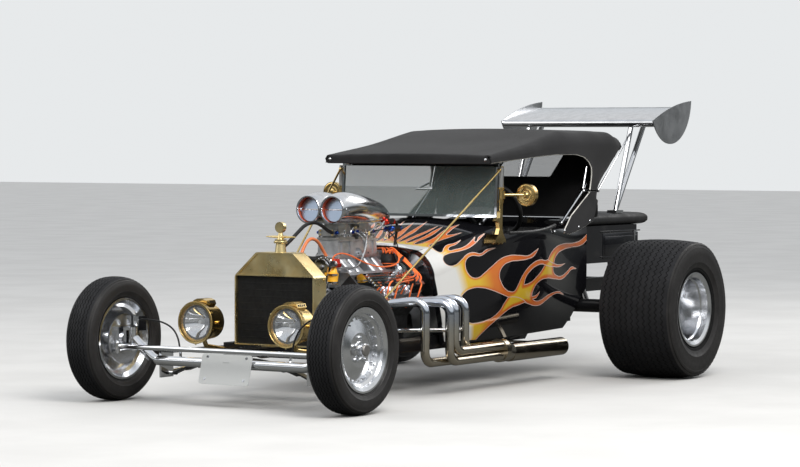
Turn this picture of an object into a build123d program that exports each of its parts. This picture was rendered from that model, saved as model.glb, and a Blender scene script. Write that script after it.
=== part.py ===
from build123d import *
import os
from math import atan2, cos, degrees, hypot, radians, sin, sqrt

# Street rod roadster with an open V8, a dropped tube front axle, very wide rear tyres,
# a short pickup bed, a cloth top and a wing. Millimetres. X forward, Y left, Z up.
# The origin is on the ground, midway between the front tyres' nose and the wing's tail.

# Driving sizes of the whole car
WHEELBASE = 2829.0
TAIL_REACH = 1238.5

FRONT_TYRE_R = 316.0
FRONT_TYRE_WIDTH = 165.0
FRONT_WHEEL_Y = 729.0
FRONT_RIM_WIDTH = 130.0

REAR_TYRE_R = 388.0
REAR_TYRE_WIDTH = 448.0
REAR_WHEEL_Y = 964.0
REAR_RIM_WIDTH = 400.0

RIM_FLANGE_R = 208.0
RIM_SEAT_R = 190.0
RIM_WALL = 7.0
FIT = 0.3

LENGTH = FRONT_TYRE_R + WHEELBASE + TAIL_REACH
FRONT_AXLE_X = LENGTH / 2 - FRONT_TYRE_R
REAR_AXLE_X = FRONT_AXLE_X - WHEELBASE

os.makedirs("parts", exist_ok=True)


def keep(name, shape):
    """Name a finished piece and write its STEP file."""
    shape.label = name
    export_step(shape, "parts/" + name + ".step")
    return shape


def aft(distance):
    """X of a station that lies this far behind the front axle."""
    return FRONT_AXLE_X - distance


def solids(*pieces):
    """One compound of pieces that share a node and do not touch."""
    return Compound(children=[s for p in pieces for s in p.solids()])


def fused(*pieces):
    """One solid from pieces that are welded together."""
    whole = pieces[0].fuse(*pieces[1:]) if len(pieces) > 1 else pieces[0]
    found = whole.solids() if hasattr(whole, "solids") else whole
    return found[0] if len(found) == 1 else Compound(children=list(found))


def block(x0, x1, y0, y1, z0, z1):
    """A box between two corners."""
    centre = Vector((x0 + x1) / 2, (y0 + y1) / 2, (z0 + z1) / 2)
    return Pos(centre) * Box(abs(x1 - x0), abs(y1 - y0), abs(z1 - z0))


def bar(start, end, radius, end_radius=None):
    """A round rod, or a cone, between two points."""
    a, b = Vector(*start), Vector(*end)
    plane = Plane(origin=a, z_dir=b - a)
    length = (b - a).length
    if end_radius is None:
        body = Cylinder(radius, length, align=(Align.CENTER, Align.CENTER, Align.MIN))
    else:
        body = Cone(radius, end_radius, length, align=(Align.CENTER, Align.CENTER, Align.MIN))
    return plane * body


def pipe(points, radius, bends, wall=0.0):
    """A tube along straight runs joined by arcs, solid unless a wall is given."""
    path = FilletPolyline(*points, radius=bends)
    start = Plane(origin=path @ 0, z_dir=path % 0)
    section = Circle(radius) - Circle(radius - wall) if wall else Circle(radius)
    return sweep(start * section, path=path)


def across(piece):
    """The same piece on the other side of the car."""
    return mirror(piece, about=Plane.XZ)


def spun(profile, x, y, z):
    """Revolve a profile of (distance along the axle, radius) points about a wheel's axle."""
    face = make_face(Plane.YZ * Polyline(*profile, close=True))
    return Pos(x, y, z) * revolve(face, Axis.Y)


def disc(x, y0, y1, z, radius, bore=0.0):
    """A round plate on a wheel's axle between two distances from the centre line."""
    plate = bar((x, y0, z), (x, y1, z), radius)
    return plate - bar((x, y0 - 1, z), (x, y1 + 1, z), bore) if bore else plate


# Frame: two box rails under the body, three crossmembers and the perch that reaches
# forward to the front spring.
RAIL_Y = 285.0
RAIL_WIDTH = 50.0
RAIL_BOTTOM_Z = 215.0
RAIL_TOP_Z = 290.0
RAIL_WALL = 4.0
RAIL_FRONT = 370.0
RAIL_REAR = WHEELBASE + 700.0
KICK_UP_START = WHEELBASE - 420.0
KICK_UP_END = WHEELBASE - 170.0
KICK_UP_RISE = 235.0
SPRING_SETBACK = 105.0
PERCH_WIDTH = 90.0
GEARBOX_MOUNT = 1760.0


def rail_outline():
    """Side view of a rail: level under the body, kicked up over the rear axle."""
    rise = KICK_UP_RISE
    return make_face(Plane.XZ * Polyline(
        (aft(RAIL_FRONT), RAIL_BOTTOM_Z),
        (aft(KICK_UP_START), RAIL_BOTTOM_Z),
        (aft(KICK_UP_END), RAIL_BOTTOM_Z + rise),
        (aft(RAIL_REAR), RAIL_BOTTOM_Z + rise),
        (aft(RAIL_REAR), RAIL_TOP_Z + rise),
        (aft(KICK_UP_END) + RAIL_WALL, RAIL_TOP_Z + rise),
        (aft(KICK_UP_START) + RAIL_WALL, RAIL_TOP_Z),
        (aft(RAIL_FRONT), RAIL_TOP_Z), close=True))


def make_frame():
    rail = Pos(0, RAIL_Y, 0) * extrude(rail_outline(), RAIL_WIDTH / 2, both=True)
    inner = RAIL_Y - RAIL_WIDTH / 2
    mid_z = (RAIL_BOTTOM_Z + RAIL_TOP_Z) / 2
    # distance behind the front axle, depth fore and aft, rise above the level rails
    crossmembers = [(RAIL_FRONT + 35, 70, 0), (RAIL_REAR - 30, 60, KICK_UP_RISE),
                    (KICK_UP_END + 10, 50, KICK_UP_RISE)]
    parts = [rail, across(rail)]
    for setback, depth, rise in crossmembers:
        x = aft(setback)
        parts.append(block(x - depth / 2, x + depth / 2, -inner - 1, inner + 1,
                           RAIL_BOTTOM_Z + 8 + rise, RAIL_TOP_Z - 8 + rise))
    perch = block(aft(RAIL_FRONT + 10), aft(SPRING_SETBACK - 30), -PERCH_WIDTH / 2, PERCH_WIDTH / 2,
                  mid_z + 4, RAIL_TOP_Z - 8)
    parts.append(perch)
    # low plate that the gearbox rests on
    parts.append(block(aft(GEARBOX_MOUNT) - 35, aft(GEARBOX_MOUNT) + 35, -inner - 1, inner + 1,
                       RAIL_BOTTOM_Z - 16, RAIL_BOTTOM_Z + 10))
    return fused(*parts)


frame = keep("frame", make_frame())

# Front suspension sizes: a transverse leaf spring behind the axle, its shackles, and a pair
# of radius rods a side that run back to the rails.
SPRING_HALF = 418.0
SPRING_END_Z = 150.0
SPRING_TOP_Z = RAIL_TOP_Z - 50.0
LEAF_THICK = 9.0
LEAF_WIDTH = 45.0
BRACKET_THICK = 12.0
ROD_R = 11.0
ROD_AXLE_Y = 450.0
ROD_FRAME_SETBACK = 965.0
ROD_FRAME_Y = RAIL_Y + RAIL_WIDTH / 2 + 22.0

# Front axle: a tube dropped in the middle that rises to a kingpin boss at each end.
FRONT_HUB_Z = FRONT_TYRE_R
KINGPIN_Y = 605.0
AXLE_R = 25.0
AXLE_TUBE_Z = 215.0
AXLE_BEND_Y = 470.0
BOSS_R = 24.0
BOSS_HALF = 44.0
BOSS_BOTTOM_Z = FRONT_HUB_Z - BOSS_HALF
BOSS_TOP_Z = FRONT_HUB_Z + BOSS_HALF
YOKE_GAP = 1.0
YOKE_THICK = 16.0


def make_front_axle():
    end_y = KINGPIN_Y - 8
    path = [(FRONT_AXLE_X, -end_y, FRONT_HUB_Z), (FRONT_AXLE_X, -AXLE_BEND_Y, AXLE_TUBE_Z),
            (FRONT_AXLE_X, AXLE_BEND_Y, AXLE_TUBE_Z), (FRONT_AXLE_X, end_y, FRONT_HUB_Z)]
    tube = pipe(path, AXLE_R, 90)
    pieces = [tube]
    for side in (1, -1):
        y = side * KINGPIN_Y
        pieces.append(bar((FRONT_AXLE_X, y, BOSS_BOTTOM_Z), (FRONT_AXLE_X, y, BOSS_TOP_Z), BOSS_R))
        # bracket behind the axle that carries the spring shackle and both radius rods
        y = side * ROD_AXLE_Y
        pieces.append(block(aft(SPRING_SETBACK) - 16, FRONT_AXLE_X - AXLE_R + 6, y - BRACKET_THICK / 2,
                            y + BRACKET_THICK / 2, SPRING_END_Z - 24, FRONT_HUB_Z - 42))
    return fused(*pieces)


def leaf(half, drop):
    """One leaf: an arc in the plane across the car, with square edges."""
    top = SPRING_TOP_Z - drop
    sag = (SPRING_TOP_Z - SPRING_END_Z) * (half / SPRING_HALF) ** 2
    outer = ThreePointArc((-half, top - sag), (0, top), (half, top - sag))
    inner = ThreePointArc((half, top - sag - LEAF_THICK), (0, top - LEAF_THICK),
                          (-half, top - sag - LEAF_THICK))
    ends = [Line(outer @ 1, inner @ 0), Line(inner @ 1, outer @ 0)]
    face = make_face(Plane.YZ * Curve(children=[outer, ends[0], inner, ends[1]]))
    x = aft(SPRING_SETBACK)
    return Pos(x, 0, 0) * extrude(face, LEAF_WIDTH / 2, both=True)


def make_front_suspension():
    x = aft(SPRING_SETBACK)
    # half length of each leaf, from the top one down
    halves = [SPRING_HALF, 340.0, 260.0, 180.0]
    leaves = [leaf(half, i * LEAF_THICK) for i, half in enumerate(halves)]
    clamp = block(x - 32, x + 32, -38, 38, SPRING_TOP_Z - 4, RAIL_TOP_Z - 33.5)
    spring = fused(*leaves, clamp)
    sides = []
    for side in (1, -1):
        # shackle between the spring's end and the bracket's inner face
        face = ROD_AXLE_Y - BRACKET_THICK / 2
        shackle_z = SPRING_END_Z - 4
        shackle = bar((x, side * (SPRING_HALF - 8), shackle_z), (x, side * face, shackle_z), 10)
        spring = fused(spring, shackle)
        rod_y = side * (face + BRACKET_THICK + ROD_R + 4)
        rear = (aft(ROD_FRAME_SETBACK), side * ROD_FRAME_Y, 250.0)
        rods = [bar((x, rod_y, z), rear, ROD_R) for z in (FRONT_HUB_Z - 62, SPRING_END_Z)]
        eyes = [bar((x, side * (face + BRACKET_THICK), z), (x, rod_y + side * ROD_R, z), 15)
                for z in (FRONT_HUB_Z - 62, SPRING_END_Z)]
        rail_face = RAIL_Y + RAIL_WIDTH / 2
        eye = bar((rear[0], side * rail_face, rear[2]), (rear[0], side * (ROD_FRAME_Y + 20), rear[2]), 18)
        sides.append(fused(*rods, *eyes, eye))
    return spring, sides


spring, rod_sides = make_front_suspension()
keep("front_axle", make_front_axle())
keep("front_suspension", solids(spring, *rod_sides))

# Steering knuckles: yoke round the axle boss, spindle, tie rod arm ahead of the axle, and a
# brake caliper. The left one also carries the arm that the drag link pushes.
SPINDLE_R = 16.0
FRONT_HUB_INNER_Y = 652.0
TIE_BALL_AHEAD = 88.0
TIE_BALL_OUT = 34.0
TIE_ARM_Z = 259.0
TIE_ROD_Z = 284.0
TIE_ROD_R = 13.0
DRAG_ARM_IN = 115.0
DRAG_ARM_R = 7.0
EYE_HALF = 11.0
DRAG_ARM_Z = BOSS_TOP_Z + YOKE_GAP + YOKE_THICK / 2
DISC_R = 128.0
DISC_THICK = 10.0
DISC_Y = 668.0
BRAKE_GAP = 5.0


def make_knuckle(side):
    x, y, z = FRONT_AXLE_X, side * KINGPIN_Y, FRONT_HUB_Z
    top0 = BOSS_TOP_Z + YOKE_GAP
    bottom0 = BOSS_BOTTOM_Z - YOKE_GAP
    back_y0 = side * (KINGPIN_Y + BOSS_R + 5)
    back_y1 = side * (KINGPIN_Y + BOSS_R + 19)
    upper = bar((x, y, top0), (x, y, top0 + YOKE_THICK), 22)
    lower = bar((x, y, bottom0 - YOKE_THICK), (x, y, bottom0), 22)
    plate = block(x - 30, x + 30, min(back_y0, back_y1), max(back_y0, back_y1),
                  bottom0 - YOKE_THICK, top0 + YOKE_THICK)
    webs = [block(x - 18, x + 18, min(y, back_y1), max(y, back_y1), z0, z0 + YOKE_THICK)
            for z0 in (top0, bottom0 - YOKE_THICK)]
    spindle = bar((x, back_y0, z), (x, side * (FRONT_WHEEL_Y + 24), z), SPINDLE_R)
    ball = (x + TIE_BALL_AHEAD, side * (KINGPIN_Y + TIE_BALL_OUT), TIE_ARM_Z)
    arm = bar((x + 10, side * (KINGPIN_Y + BOSS_R), bottom0 - YOKE_THICK / 2), ball, 9)
    cup = bar((ball[0], ball[1], TIE_ARM_Z - 10), (ball[0], ball[1], TIE_ARM_Z + 10), 14)
    # caliper behind the axle, round the edge of the brake disc
    caliper = block(x - 128, x - 62, side * (DISC_Y - 46), side * (DISC_Y + 20), z + 38, z + 112)
    slot = disc(x, side * (DISC_Y - DISC_THICK / 2 - BRAKE_GAP), side * (DISC_Y + DISC_THICK / 2 + BRAKE_GAP),
                z, DISC_R + BRAKE_GAP)
    caliper = caliper - slot
    hanger = block(x - 74, x - 10, side * (KINGPIN_Y + BOSS_R + 6), side * (KINGPIN_Y + BOSS_R + 16),
                   z + 20, z + 60)
    pieces = [plate, upper, lower, *webs, spindle, arm, cup, caliper, hanger]
    if side > 0:
        steer_ball = (x, KINGPIN_Y - DRAG_ARM_IN, DRAG_ARM_Z)
        pieces.append(bar((x, KINGPIN_Y, DRAG_ARM_Z), steer_ball, DRAG_ARM_R))
        pieces.append(bar((x, steer_ball[1], DRAG_ARM_Z - EYE_HALF),
                          (x, steer_ball[1], DRAG_ARM_Z + EYE_HALF), 15))
    return fused(*pieces)


for side, name in ((1, "left"), (-1, "right")):
    keep("knuckle_" + name, make_knuckle(side))


def make_tie_rod():
    """The rod that joins both front arms, with an eye over each ball."""
    x = FRONT_AXLE_X + TIE_BALL_AHEAD
    end = KINGPIN_Y + TIE_BALL_OUT
    tube = bar((x, -end + 26, TIE_ROD_Z), (x, end - 26, TIE_ROD_Z), TIE_ROD_R)
    pieces = [tube]
    for side in (1, -1):
        y = side * end
        pieces.append(bar((x, y, TIE_ARM_Z + 12), (x, y, TIE_ROD_Z + 14), 13))
        pieces.append(bar((x, y, TIE_ROD_Z), (x, y - side * 30, TIE_ROD_Z), 9))
    return fused(*pieces)


keep("tie_rod", make_tie_rod())

# Drag link: from the pitman arm on the left of the cowl to the left knuckle's inner arm.
PITMAN_SETBACK = 1515.0
PITMAN_Y = 412.0
PITMAN_LENGTH = 150.0
PITMAN_THICK = 12.0
PITMAN_SHAFT_R = 14.0
DRAG_R = 11.0
DRAG_FRONT_Z = DRAG_ARM_Z + EYE_HALF + 1 + DRAG_R + 2
DRAG_REAR_Z = 318.0
PITMAN_SHAFT_Z = DRAG_REAR_Z + PITMAN_LENGTH


def make_drag_link():
    x1, y1 = FRONT_AXLE_X, KINGPIN_Y - DRAG_ARM_IN
    x0, y0 = aft(PITMAN_SETBACK), PITMAN_Y + PITMAN_THICK + 16
    rod = bar((x0, y0, DRAG_REAR_Z), (x1, y1, DRAG_FRONT_Z), DRAG_R)
    eye = bar((x1, y1, DRAG_FRONT_Z - DRAG_R - 2), (x1, y1, DRAG_FRONT_Z + DRAG_R + 2), 15)
    rear = bar((x0, y0 - 13, DRAG_REAR_Z), (x0, y0 + 12, DRAG_REAR_Z), 15)
    return fused(rod, eye, rear)


def make_pitman_arm():
    x = aft(PITMAN_SETBACK)
    y0, y1 = PITMAN_Y, PITMAN_Y + PITMAN_THICK
    arm = Pos(x, (y0 + y1) / 2, (DRAG_REAR_Z + PITMAN_SHAFT_Z) / 2) * Box(
        26, PITMAN_THICK, PITMAN_LENGTH)
    hub = bar((x, y0 - 6, PITMAN_SHAFT_Z), (x, y1 + 4, PITMAN_SHAFT_Z), 26)
    foot = bar((x, y0, DRAG_REAR_Z), (x, y1 + 1.5, DRAG_REAR_Z), 17)
    bore = bar((x, y0 - 10, PITMAN_SHAFT_Z), (x, y1 + 10, PITMAN_SHAFT_Z), PITMAN_SHAFT_R + FIT)
    return fused(arm, hub, foot) - bore


keep("drag_link", make_drag_link())
keep("pitman_arm", make_pitman_arm())


# Wheels and tyres
def rim_profile(width, well_r, dish):
    """Half section of a rim: outer contour from flange to flange, then back inside."""
    h = width / 2
    w = RIM_WALL
    outer = [(-h, RIM_FLANGE_R), (-h + w, RIM_FLANGE_R), (-h + w + 2, RIM_SEAT_R),
             (-h + 42, RIM_SEAT_R - 2), (-h + 50, well_r), (dish - 10, well_r),
             (h - 50, RIM_SEAT_R - 14), (h - 42, RIM_SEAT_R - 2),
             (h - w - 2, RIM_SEAT_R), (h - w, RIM_FLANGE_R), (h, RIM_FLANGE_R)]
    inner = [(h, RIM_FLANGE_R - 10), (h - 10, RIM_SEAT_R - w - 3), (h - 44, RIM_SEAT_R - w - 8),
             (h - 54, RIM_SEAT_R - 14 - w), (dish - 4, well_r - w), (-h + 44, well_r - w),
             (-h + 36, RIM_SEAT_R - w - 4), (-h, RIM_FLANGE_R - 12)]
    return outer + inner


def narrow_rim_profile():
    """Half section of the narrow front rim."""
    h = FRONT_RIM_WIDTH / 2
    w = RIM_WALL
    well = RIM_SEAT_R - 20
    return [(-h, RIM_FLANGE_R), (-h + w, RIM_FLANGE_R), (-h + w + 2, RIM_SEAT_R),
            (-h + 26, RIM_SEAT_R - 2), (-h + 34, well), (h - 34, well), (h - 26, RIM_SEAT_R - 2),
            (h - w - 2, RIM_SEAT_R), (h - w, RIM_FLANGE_R), (h, RIM_FLANGE_R),
            (h, RIM_FLANGE_R - 10), (h - 8, RIM_SEAT_R - w - 3), (h - 24, RIM_SEAT_R - w - 6),
            (h - 32, well - w), (-h + 32, well - w), (-h + 24, RIM_SEAT_R - w - 4),
            (-h, RIM_FLANGE_R - 12)]


FRONT_DISC_R = RIM_SEAT_R - 20 - RIM_WALL + 2
FRONT_FACE = 30.0
FRONT_HUB_R = 34.0
FRONT_BORE_R = SPINDLE_R + FIT


def make_front_wheel(side):
    """Polished wheel with a domed centre disc, on a hub that turns on the spindle."""
    y, z = side * FRONT_WHEEL_Y, FRONT_HUB_Z
    rim = spun([(side * a, r) for a, r in narrow_rim_profile()], FRONT_AXLE_X, y, z)
    face = y + side * FRONT_FACE
    dome = spun([(side * (FRONT_FACE - 4), FRONT_BORE_R), (side * (FRONT_FACE - 4), 84),
                 (side * (FRONT_FACE - 22), FRONT_DISC_R), (side * (FRONT_FACE - 14), FRONT_DISC_R),
                 (side * (FRONT_FACE + 6), 84), (side * (FRONT_FACE + 6), FRONT_BORE_R)],
                FRONT_AXLE_X, y, z)
    boss_tip = face + side * 44
    boss = bar((FRONT_AXLE_X, face - side * 4, z), (FRONT_AXLE_X, boss_tip, z), FRONT_HUB_R, 27)
    hub_back = side * FRONT_HUB_INNER_Y
    hub = bar((FRONT_AXLE_X, hub_back, z), (FRONT_AXLE_X, face, z), FRONT_HUB_R)
    bore = bar((FRONT_AXLE_X, hub_back - side * 2, z), (FRONT_AXLE_X, face, z), FRONT_BORE_R)
    brake = disc(FRONT_AXLE_X, side * (DISC_Y - DISC_THICK / 2), side * (DISC_Y + DISC_THICK / 2),
                 z, DISC_R)
    return fused(rim, dome, boss, hub, brake) - bore


def tyre_profile(width, radius, rim_width, shoulder_drop, tread_half):
    """Section of a tyre as lines and arcs: bead, bulged wall, shoulder and crown."""
    h = width / 2
    bead = rim_width / 2 - RIM_WALL - 3
    seat = RIM_SEAT_R + FIT
    mid = (RIM_FLANGE_R + radius) / 2 - 6
    shoulder = radius - shoulder_drop
    pieces = [
        Line((-bead, seat), (bead, seat)),
        Line((bead, seat), (bead, RIM_FLANGE_R + 2)),
        ThreePointArc((bead, RIM_FLANGE_R + 2), (h, mid), (tread_half, shoulder)),
        ThreePointArc((tread_half, shoulder), (0, radius), (-tread_half, shoulder)),
        ThreePointArc((-tread_half, shoulder), (-h, mid), (-bead, RIM_FLANGE_R + 2)),
        Line((-bead, RIM_FLANGE_R + 2), (-bead, seat)),
    ]
    return make_face(Plane.YZ * Curve(children=pieces))


def make_tyre(x, y, z, face):
    return Pos(x, y, z) * revolve(face, Axis.Y)


REAR_HUB_Z = REAR_TYRE_R
REAR_DISH = 20.0
REAR_HUB_R = 62.0
REAR_DRUM_R = 132.0
REAR_SHAFT_R = 24.0
REAR_DRUM_DEPTH = 62.0
REAR_FACE_THICK = 14.0


def make_rear_wheel(side):
    """Wide polished wheel: deep dish, flat centre and the brake drum bolted behind it."""
    y, z = side * REAR_WHEEL_Y, REAR_HUB_Z
    well = RIM_SEAT_R - 34
    rim = spun([(side * a, r) for a, r in rim_profile(REAR_RIM_WIDTH, well, REAR_DISH)],
               REAR_AXLE_X, y, z)
    inner = side * (REAR_WHEEL_Y + REAR_DISH - REAR_FACE_THICK)
    outer = side * (REAR_WHEEL_Y + REAR_DISH)
    centre = disc(REAR_AXLE_X, inner, outer, z, well - RIM_WALL + 2)
    hub = bar((REAR_AXLE_X, outer, z), (REAR_AXLE_X, outer + side * 60, z), REAR_HUB_R, 40)
    drum = bar((REAR_AXLE_X, inner, z), (REAR_AXLE_X, inner - side * REAR_DRUM_DEPTH, z), REAR_DRUM_R)
    bore = bar((REAR_AXLE_X, inner - side * (REAR_DRUM_DEPTH + 2), z), (REAR_AXLE_X, outer, z),
               REAR_SHAFT_R + FIT)
    return fused(rim, centre, hub, drum) - bore


front_tyre_face = tyre_profile(FRONT_TYRE_WIDTH, FRONT_TYRE_R, FRONT_RIM_WIDTH, 9.0, 62.0)
rear_tyre_face = tyre_profile(REAR_TYRE_WIDTH, REAR_TYRE_R, REAR_RIM_WIDTH, 14.0, 208.0)
for side, name in ((1, "left"), (-1, "right")):
    keep("front_wheel_" + name, make_front_wheel(side))
    keep("front_tyre_" + name,
         make_tyre(FRONT_AXLE_X, side * FRONT_WHEEL_Y, FRONT_HUB_Z, front_tyre_face))
    keep("rear_wheel_" + name, make_rear_wheel(side))
    keep("rear_tyre_" + name,
         make_tyre(REAR_AXLE_X, side * REAR_WHEEL_Y, REAR_HUB_Z, rear_tyre_face))

# Rear axle: housing with a round centre, brake backing plates, and its coil-over and
# ladder bar suspension.
AXLE_HOUSING_R = 38.0
DIFF_R = 122.0
BACKING_Y = REAR_WHEEL_Y + REAR_DISH - REAR_FACE_THICK - REAR_DRUM_DEPTH - 1.0


def make_rear_axle():
    tube = bar((REAR_AXLE_X, -BACKING_Y, REAR_HUB_Z), (REAR_AXLE_X, BACKING_Y, REAR_HUB_Z),
               AXLE_HOUSING_R)
    centre = Pos(REAR_AXLE_X, 0, REAR_HUB_Z) * Sphere(DIFF_R)
    nose = bar((REAR_AXLE_X, 0, REAR_HUB_Z), (REAR_AXLE_X + 190, 0, REAR_HUB_Z - 10), 78, 46)
    pieces = [tube, centre, nose]
    for side in (1, -1):
        plate = bar((REAR_AXLE_X, side * (BACKING_Y - 10), REAR_HUB_Z),
                    (REAR_AXLE_X, side * BACKING_Y, REAR_HUB_Z), REAR_DRUM_R)
        shaft_end = side * (REAR_WHEEL_Y + REAR_DISH - 2)
        pieces.append(bar((REAR_AXLE_X, side * BACKING_Y, REAR_HUB_Z), (REAR_AXLE_X, shaft_end, REAR_HUB_Z),
                          REAR_SHAFT_R))
        pieces.append(plate)
    return fused(*pieces)


rear_axle = make_rear_axle()
keep("rear_axle", rear_axle)

LADDER_Y = 336.0
LADDER_FRONT_SETBACK = WHEELBASE - 690.0
COIL_Y = 430.0
COIL_TOP_Z = RAIL_TOP_Z + KICK_UP_RISE + 60.0


def make_rear_suspension():
    """Ladder bars ahead of the axle and a coil-over behind it, one of each a side."""
    pieces = []
    for side in (1, -1):
        y = side * LADDER_Y
        front = (aft(LADDER_FRONT_SETBACK), y, RAIL_BOTTOM_Z + 20)
        plate = block(REAR_AXLE_X - 50, REAR_AXLE_X + 50, y - 6, y + 6,
                      REAR_HUB_Z - 96, REAR_HUB_Z - AXLE_HOUSING_R + 2)
        upper = bar((REAR_AXLE_X + 30, y, REAR_HUB_Z - 44), front, 13)
        lower = bar((REAR_AXLE_X + 30, y, REAR_HUB_Z - 84), front, 13)
        eye_y0 = side * (RAIL_Y + RAIL_WIDTH / 2 + FIT)
        eye = bar((front[0], eye_y0, front[2]), (front[0], y + side * 20, front[2]), 20)
        pieces.append(fused(plate, upper, lower, eye))
        coil_low = (REAR_AXLE_X - 70, side * COIL_Y, REAR_HUB_Z - 20)
        coil_top = (REAR_AXLE_X - 110, side * (RAIL_Y + 42), COIL_TOP_Z)
        spring_body = bar(coil_low, coil_top, 34)
        arm = block(REAR_AXLE_X - 84, REAR_AXLE_X - AXLE_HOUSING_R + 4, side * COIL_Y - 12,
                    side * COIL_Y + 12, REAR_HUB_Z - 30, REAR_HUB_Z + 4)
        pin = bar((coil_top[0], side * (RAIL_Y - 10), COIL_TOP_Z - 8),
                  (coil_top[0], side * (RAIL_Y + 60), COIL_TOP_Z - 8), 12)
        ear = block(coil_top[0] - 25, coil_top[0] + 25, side * RAIL_Y - 6, side * RAIL_Y + 6,
                    RAIL_TOP_Z + KICK_UP_RISE + FIT, COIL_TOP_Z + 14)
        pieces.append(fused(spring_body, arm, pin, ear))
    return solids(*[piece - rear_axle for piece in pieces])


keep("rear_suspension", make_rear_suspension())

# Body: one moulded shell, lofted along the car through five sections. It is split at the
# windscreen into the cowl and the open tub.
BODY_WALL = 26.0
BODY_REAR = WHEELBASE + 40.0
BODY_SPLIT = 1795.0
FIREWALL_FOOT = 1466.0
FIREWALL_HEAD = 1318.0
BODY_CORNER_R = 150.0
FLOOR_Z = RAIL_TOP_Z + FIT
FLOOR_THICK = 14.0

# Columns: distance behind the front axle, bottom half width, bottom height, half width at
# mid side, mid side height, belt half width, belt height, shoulder half width, shoulder
# height, crown height on the centre line
BODY_SECTIONS = [
    (1300.0, 345, 238, 347, 430, 343, 590, 262, 742, 768),
    (1560.0, 352, 238, 388, 450, 400, 660, 330, 792, 818),
    (1800.0, 362, 240, 448, 470, 492, 748, 440, 862, 908),
    (2330.0, 384, 252, 478, 480, 516, 770, 486, 890, 960),
    (BODY_REAR + 60, 400, 270, 487, 450, 520, 780, 492, 930, 1000),
]


def body_section(row, inset):
    """One cross-section of the body shell, moved in by the wall for the inside."""
    setback, yb, zb, ym, zm, ys, zs, yc, zc, zt = row
    i = inset
    low = (yb - i, zb - 2 * i)
    mid = (ym - i, zm)
    belt = (ys - i, zs - i * 0.3)
    edge = (yc - i * 0.7, zc - i * 0.8)
    top = (0, zt - i)
    # the shoulder arc bulges out from its chord by a fifth of the chord's length
    chord = hypot(belt[0] - edge[0], edge[1] - belt[1])
    bulge = 0.16 * chord
    normal = ((edge[1] - belt[1]) / chord, (belt[0] - edge[0]) / chord)
    over = ((belt[0] + edge[0]) / 2 + normal[0] * bulge, (belt[1] + edge[1]) / 2 + normal[1] * bulge)
    flip = [(-p[0], p[1]) for p in (low, mid, belt, over, edge)]
    outline = [
        Line(flip[0], low),
        ThreePointArc(low, mid, belt),
        ThreePointArc(belt, over, edge),
        ThreePointArc(edge, top, flip[4]),
        ThreePointArc(flip[4], flip[3], flip[2]),
        ThreePointArc(flip[2], flip[1], flip[0]),
    ]
    return Pos(aft(setback), 0, 0) * make_face(Plane.YZ * Curve(children=outline))


def body_volume(inset):
    """The whole lofted body, rounded in plan at the rear corners."""
    volume = loft([body_section(row, inset) for row in BODY_SECTIONS])
    front_x = aft(BODY_SECTIONS[0][0]) + 5
    rear_x = aft(BODY_REAR) + inset
    half = 600.0 - inset
    wide = BODY_SECTIONS[-1][5] - inset
    plan = make_face(Polyline((front_x, half), (rear_x + 400, half), (rear_x + 400, wide),
                              (rear_x, wide), (rear_x, -wide), (rear_x + 400, -wide),
                              (rear_x + 400, -half), (front_x, -half), close=True))
    corners = [v for v in plan.vertices() if abs(v.X - rear_x) < 1]
    plan = fillet(corners, BODY_CORNER_R - inset)
    return volume & Pos(0, 0, 100) * extrude(plan, 1000, dir=(0, 0, 1))


def side_prism(points):
    """A solid as wide as the car whose side view is a polygon of (setback, height) points."""
    outline = [(aft(s), z) for s, z in points]
    return extrude(make_face(Plane.XZ * Polyline(*outline, close=True)), 700, both=True)


body_outer = body_volume(0.0)
body_inner = body_volume(BODY_WALL)
body_shell = body_outer - body_inner

front_cut = side_prism([(FIREWALL_FOOT, 200), (FIREWALL_HEAD, 790), (FIREWALL_HEAD, 1100),
                        (1200, 1100), (1200, 200)])


def make_cowl():
    shell = body_shell - front_cut
    shell = shell & side_prism([(1200, 200), (BODY_SPLIT, 200), (BODY_SPLIT, 1100), (1200, 1100)])
    # hole in the left side for the steering shaft
    hole = bar((aft(PITMAN_SETBACK), 200, PITMAN_SHAFT_Z), (aft(PITMAN_SETBACK), 500, PITMAN_SHAFT_Z),
               PITMAN_SHAFT_R + 4)
    return shell - hole


# Top edge of the tub in side view: setback and height
TUB_EDGE = [(BODY_SPLIT, 824), (2100, 826), (2344, 846), (2500, 862), (2760, 878), (BODY_REAR, 892)]

# Lower rear edge of the tub in side view, swept forward past the axle tube
TAIL_HALF = 440.0
TAIL_GAP_Z = 545.0
TUB_TAIL = [(BODY_REAR + 50, TAIL_GAP_Z), (BODY_REAR, TAIL_GAP_Z), (BODY_REAR - 7, 533), (WHEELBASE - 44, 420),
            (WHEELBASE - 84, 333), (WHEELBASE - 139, 262), (WHEELBASE - 139, 100), (BODY_REAR + 50, 100)]


def make_tub():
    keep_below = side_prism([(BODY_SPLIT, 200)] + TUB_EDGE
                            + [(BODY_REAR + 50, 895), (BODY_REAR + 50, 200)])
    tub = (body_shell & keep_below) - side_prism(TUB_TAIL)
    # the rear wall stops above the rails and the axle
    return tub - block(aft(BODY_REAR + 5), aft(BODY_REAR - BODY_WALL - 5), -TAIL_HALF, TAIL_HALF, 100,
                       TAIL_GAP_Z)


keep("cowl", make_cowl())
keep("body_tub", make_tub())

TUNNEL_HALF = 150.0
TUNNEL_TOP_Z = 470.0
TUNNEL_SIDE_Z = 390.0
FLOOR_FRONT = 1500.0
DECK_FRONT = KICK_UP_START - 60.0
TUNNEL_END = DECK_FRONT
DECK_Z = RAIL_TOP_Z + KICK_UP_RISE + FIT


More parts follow.
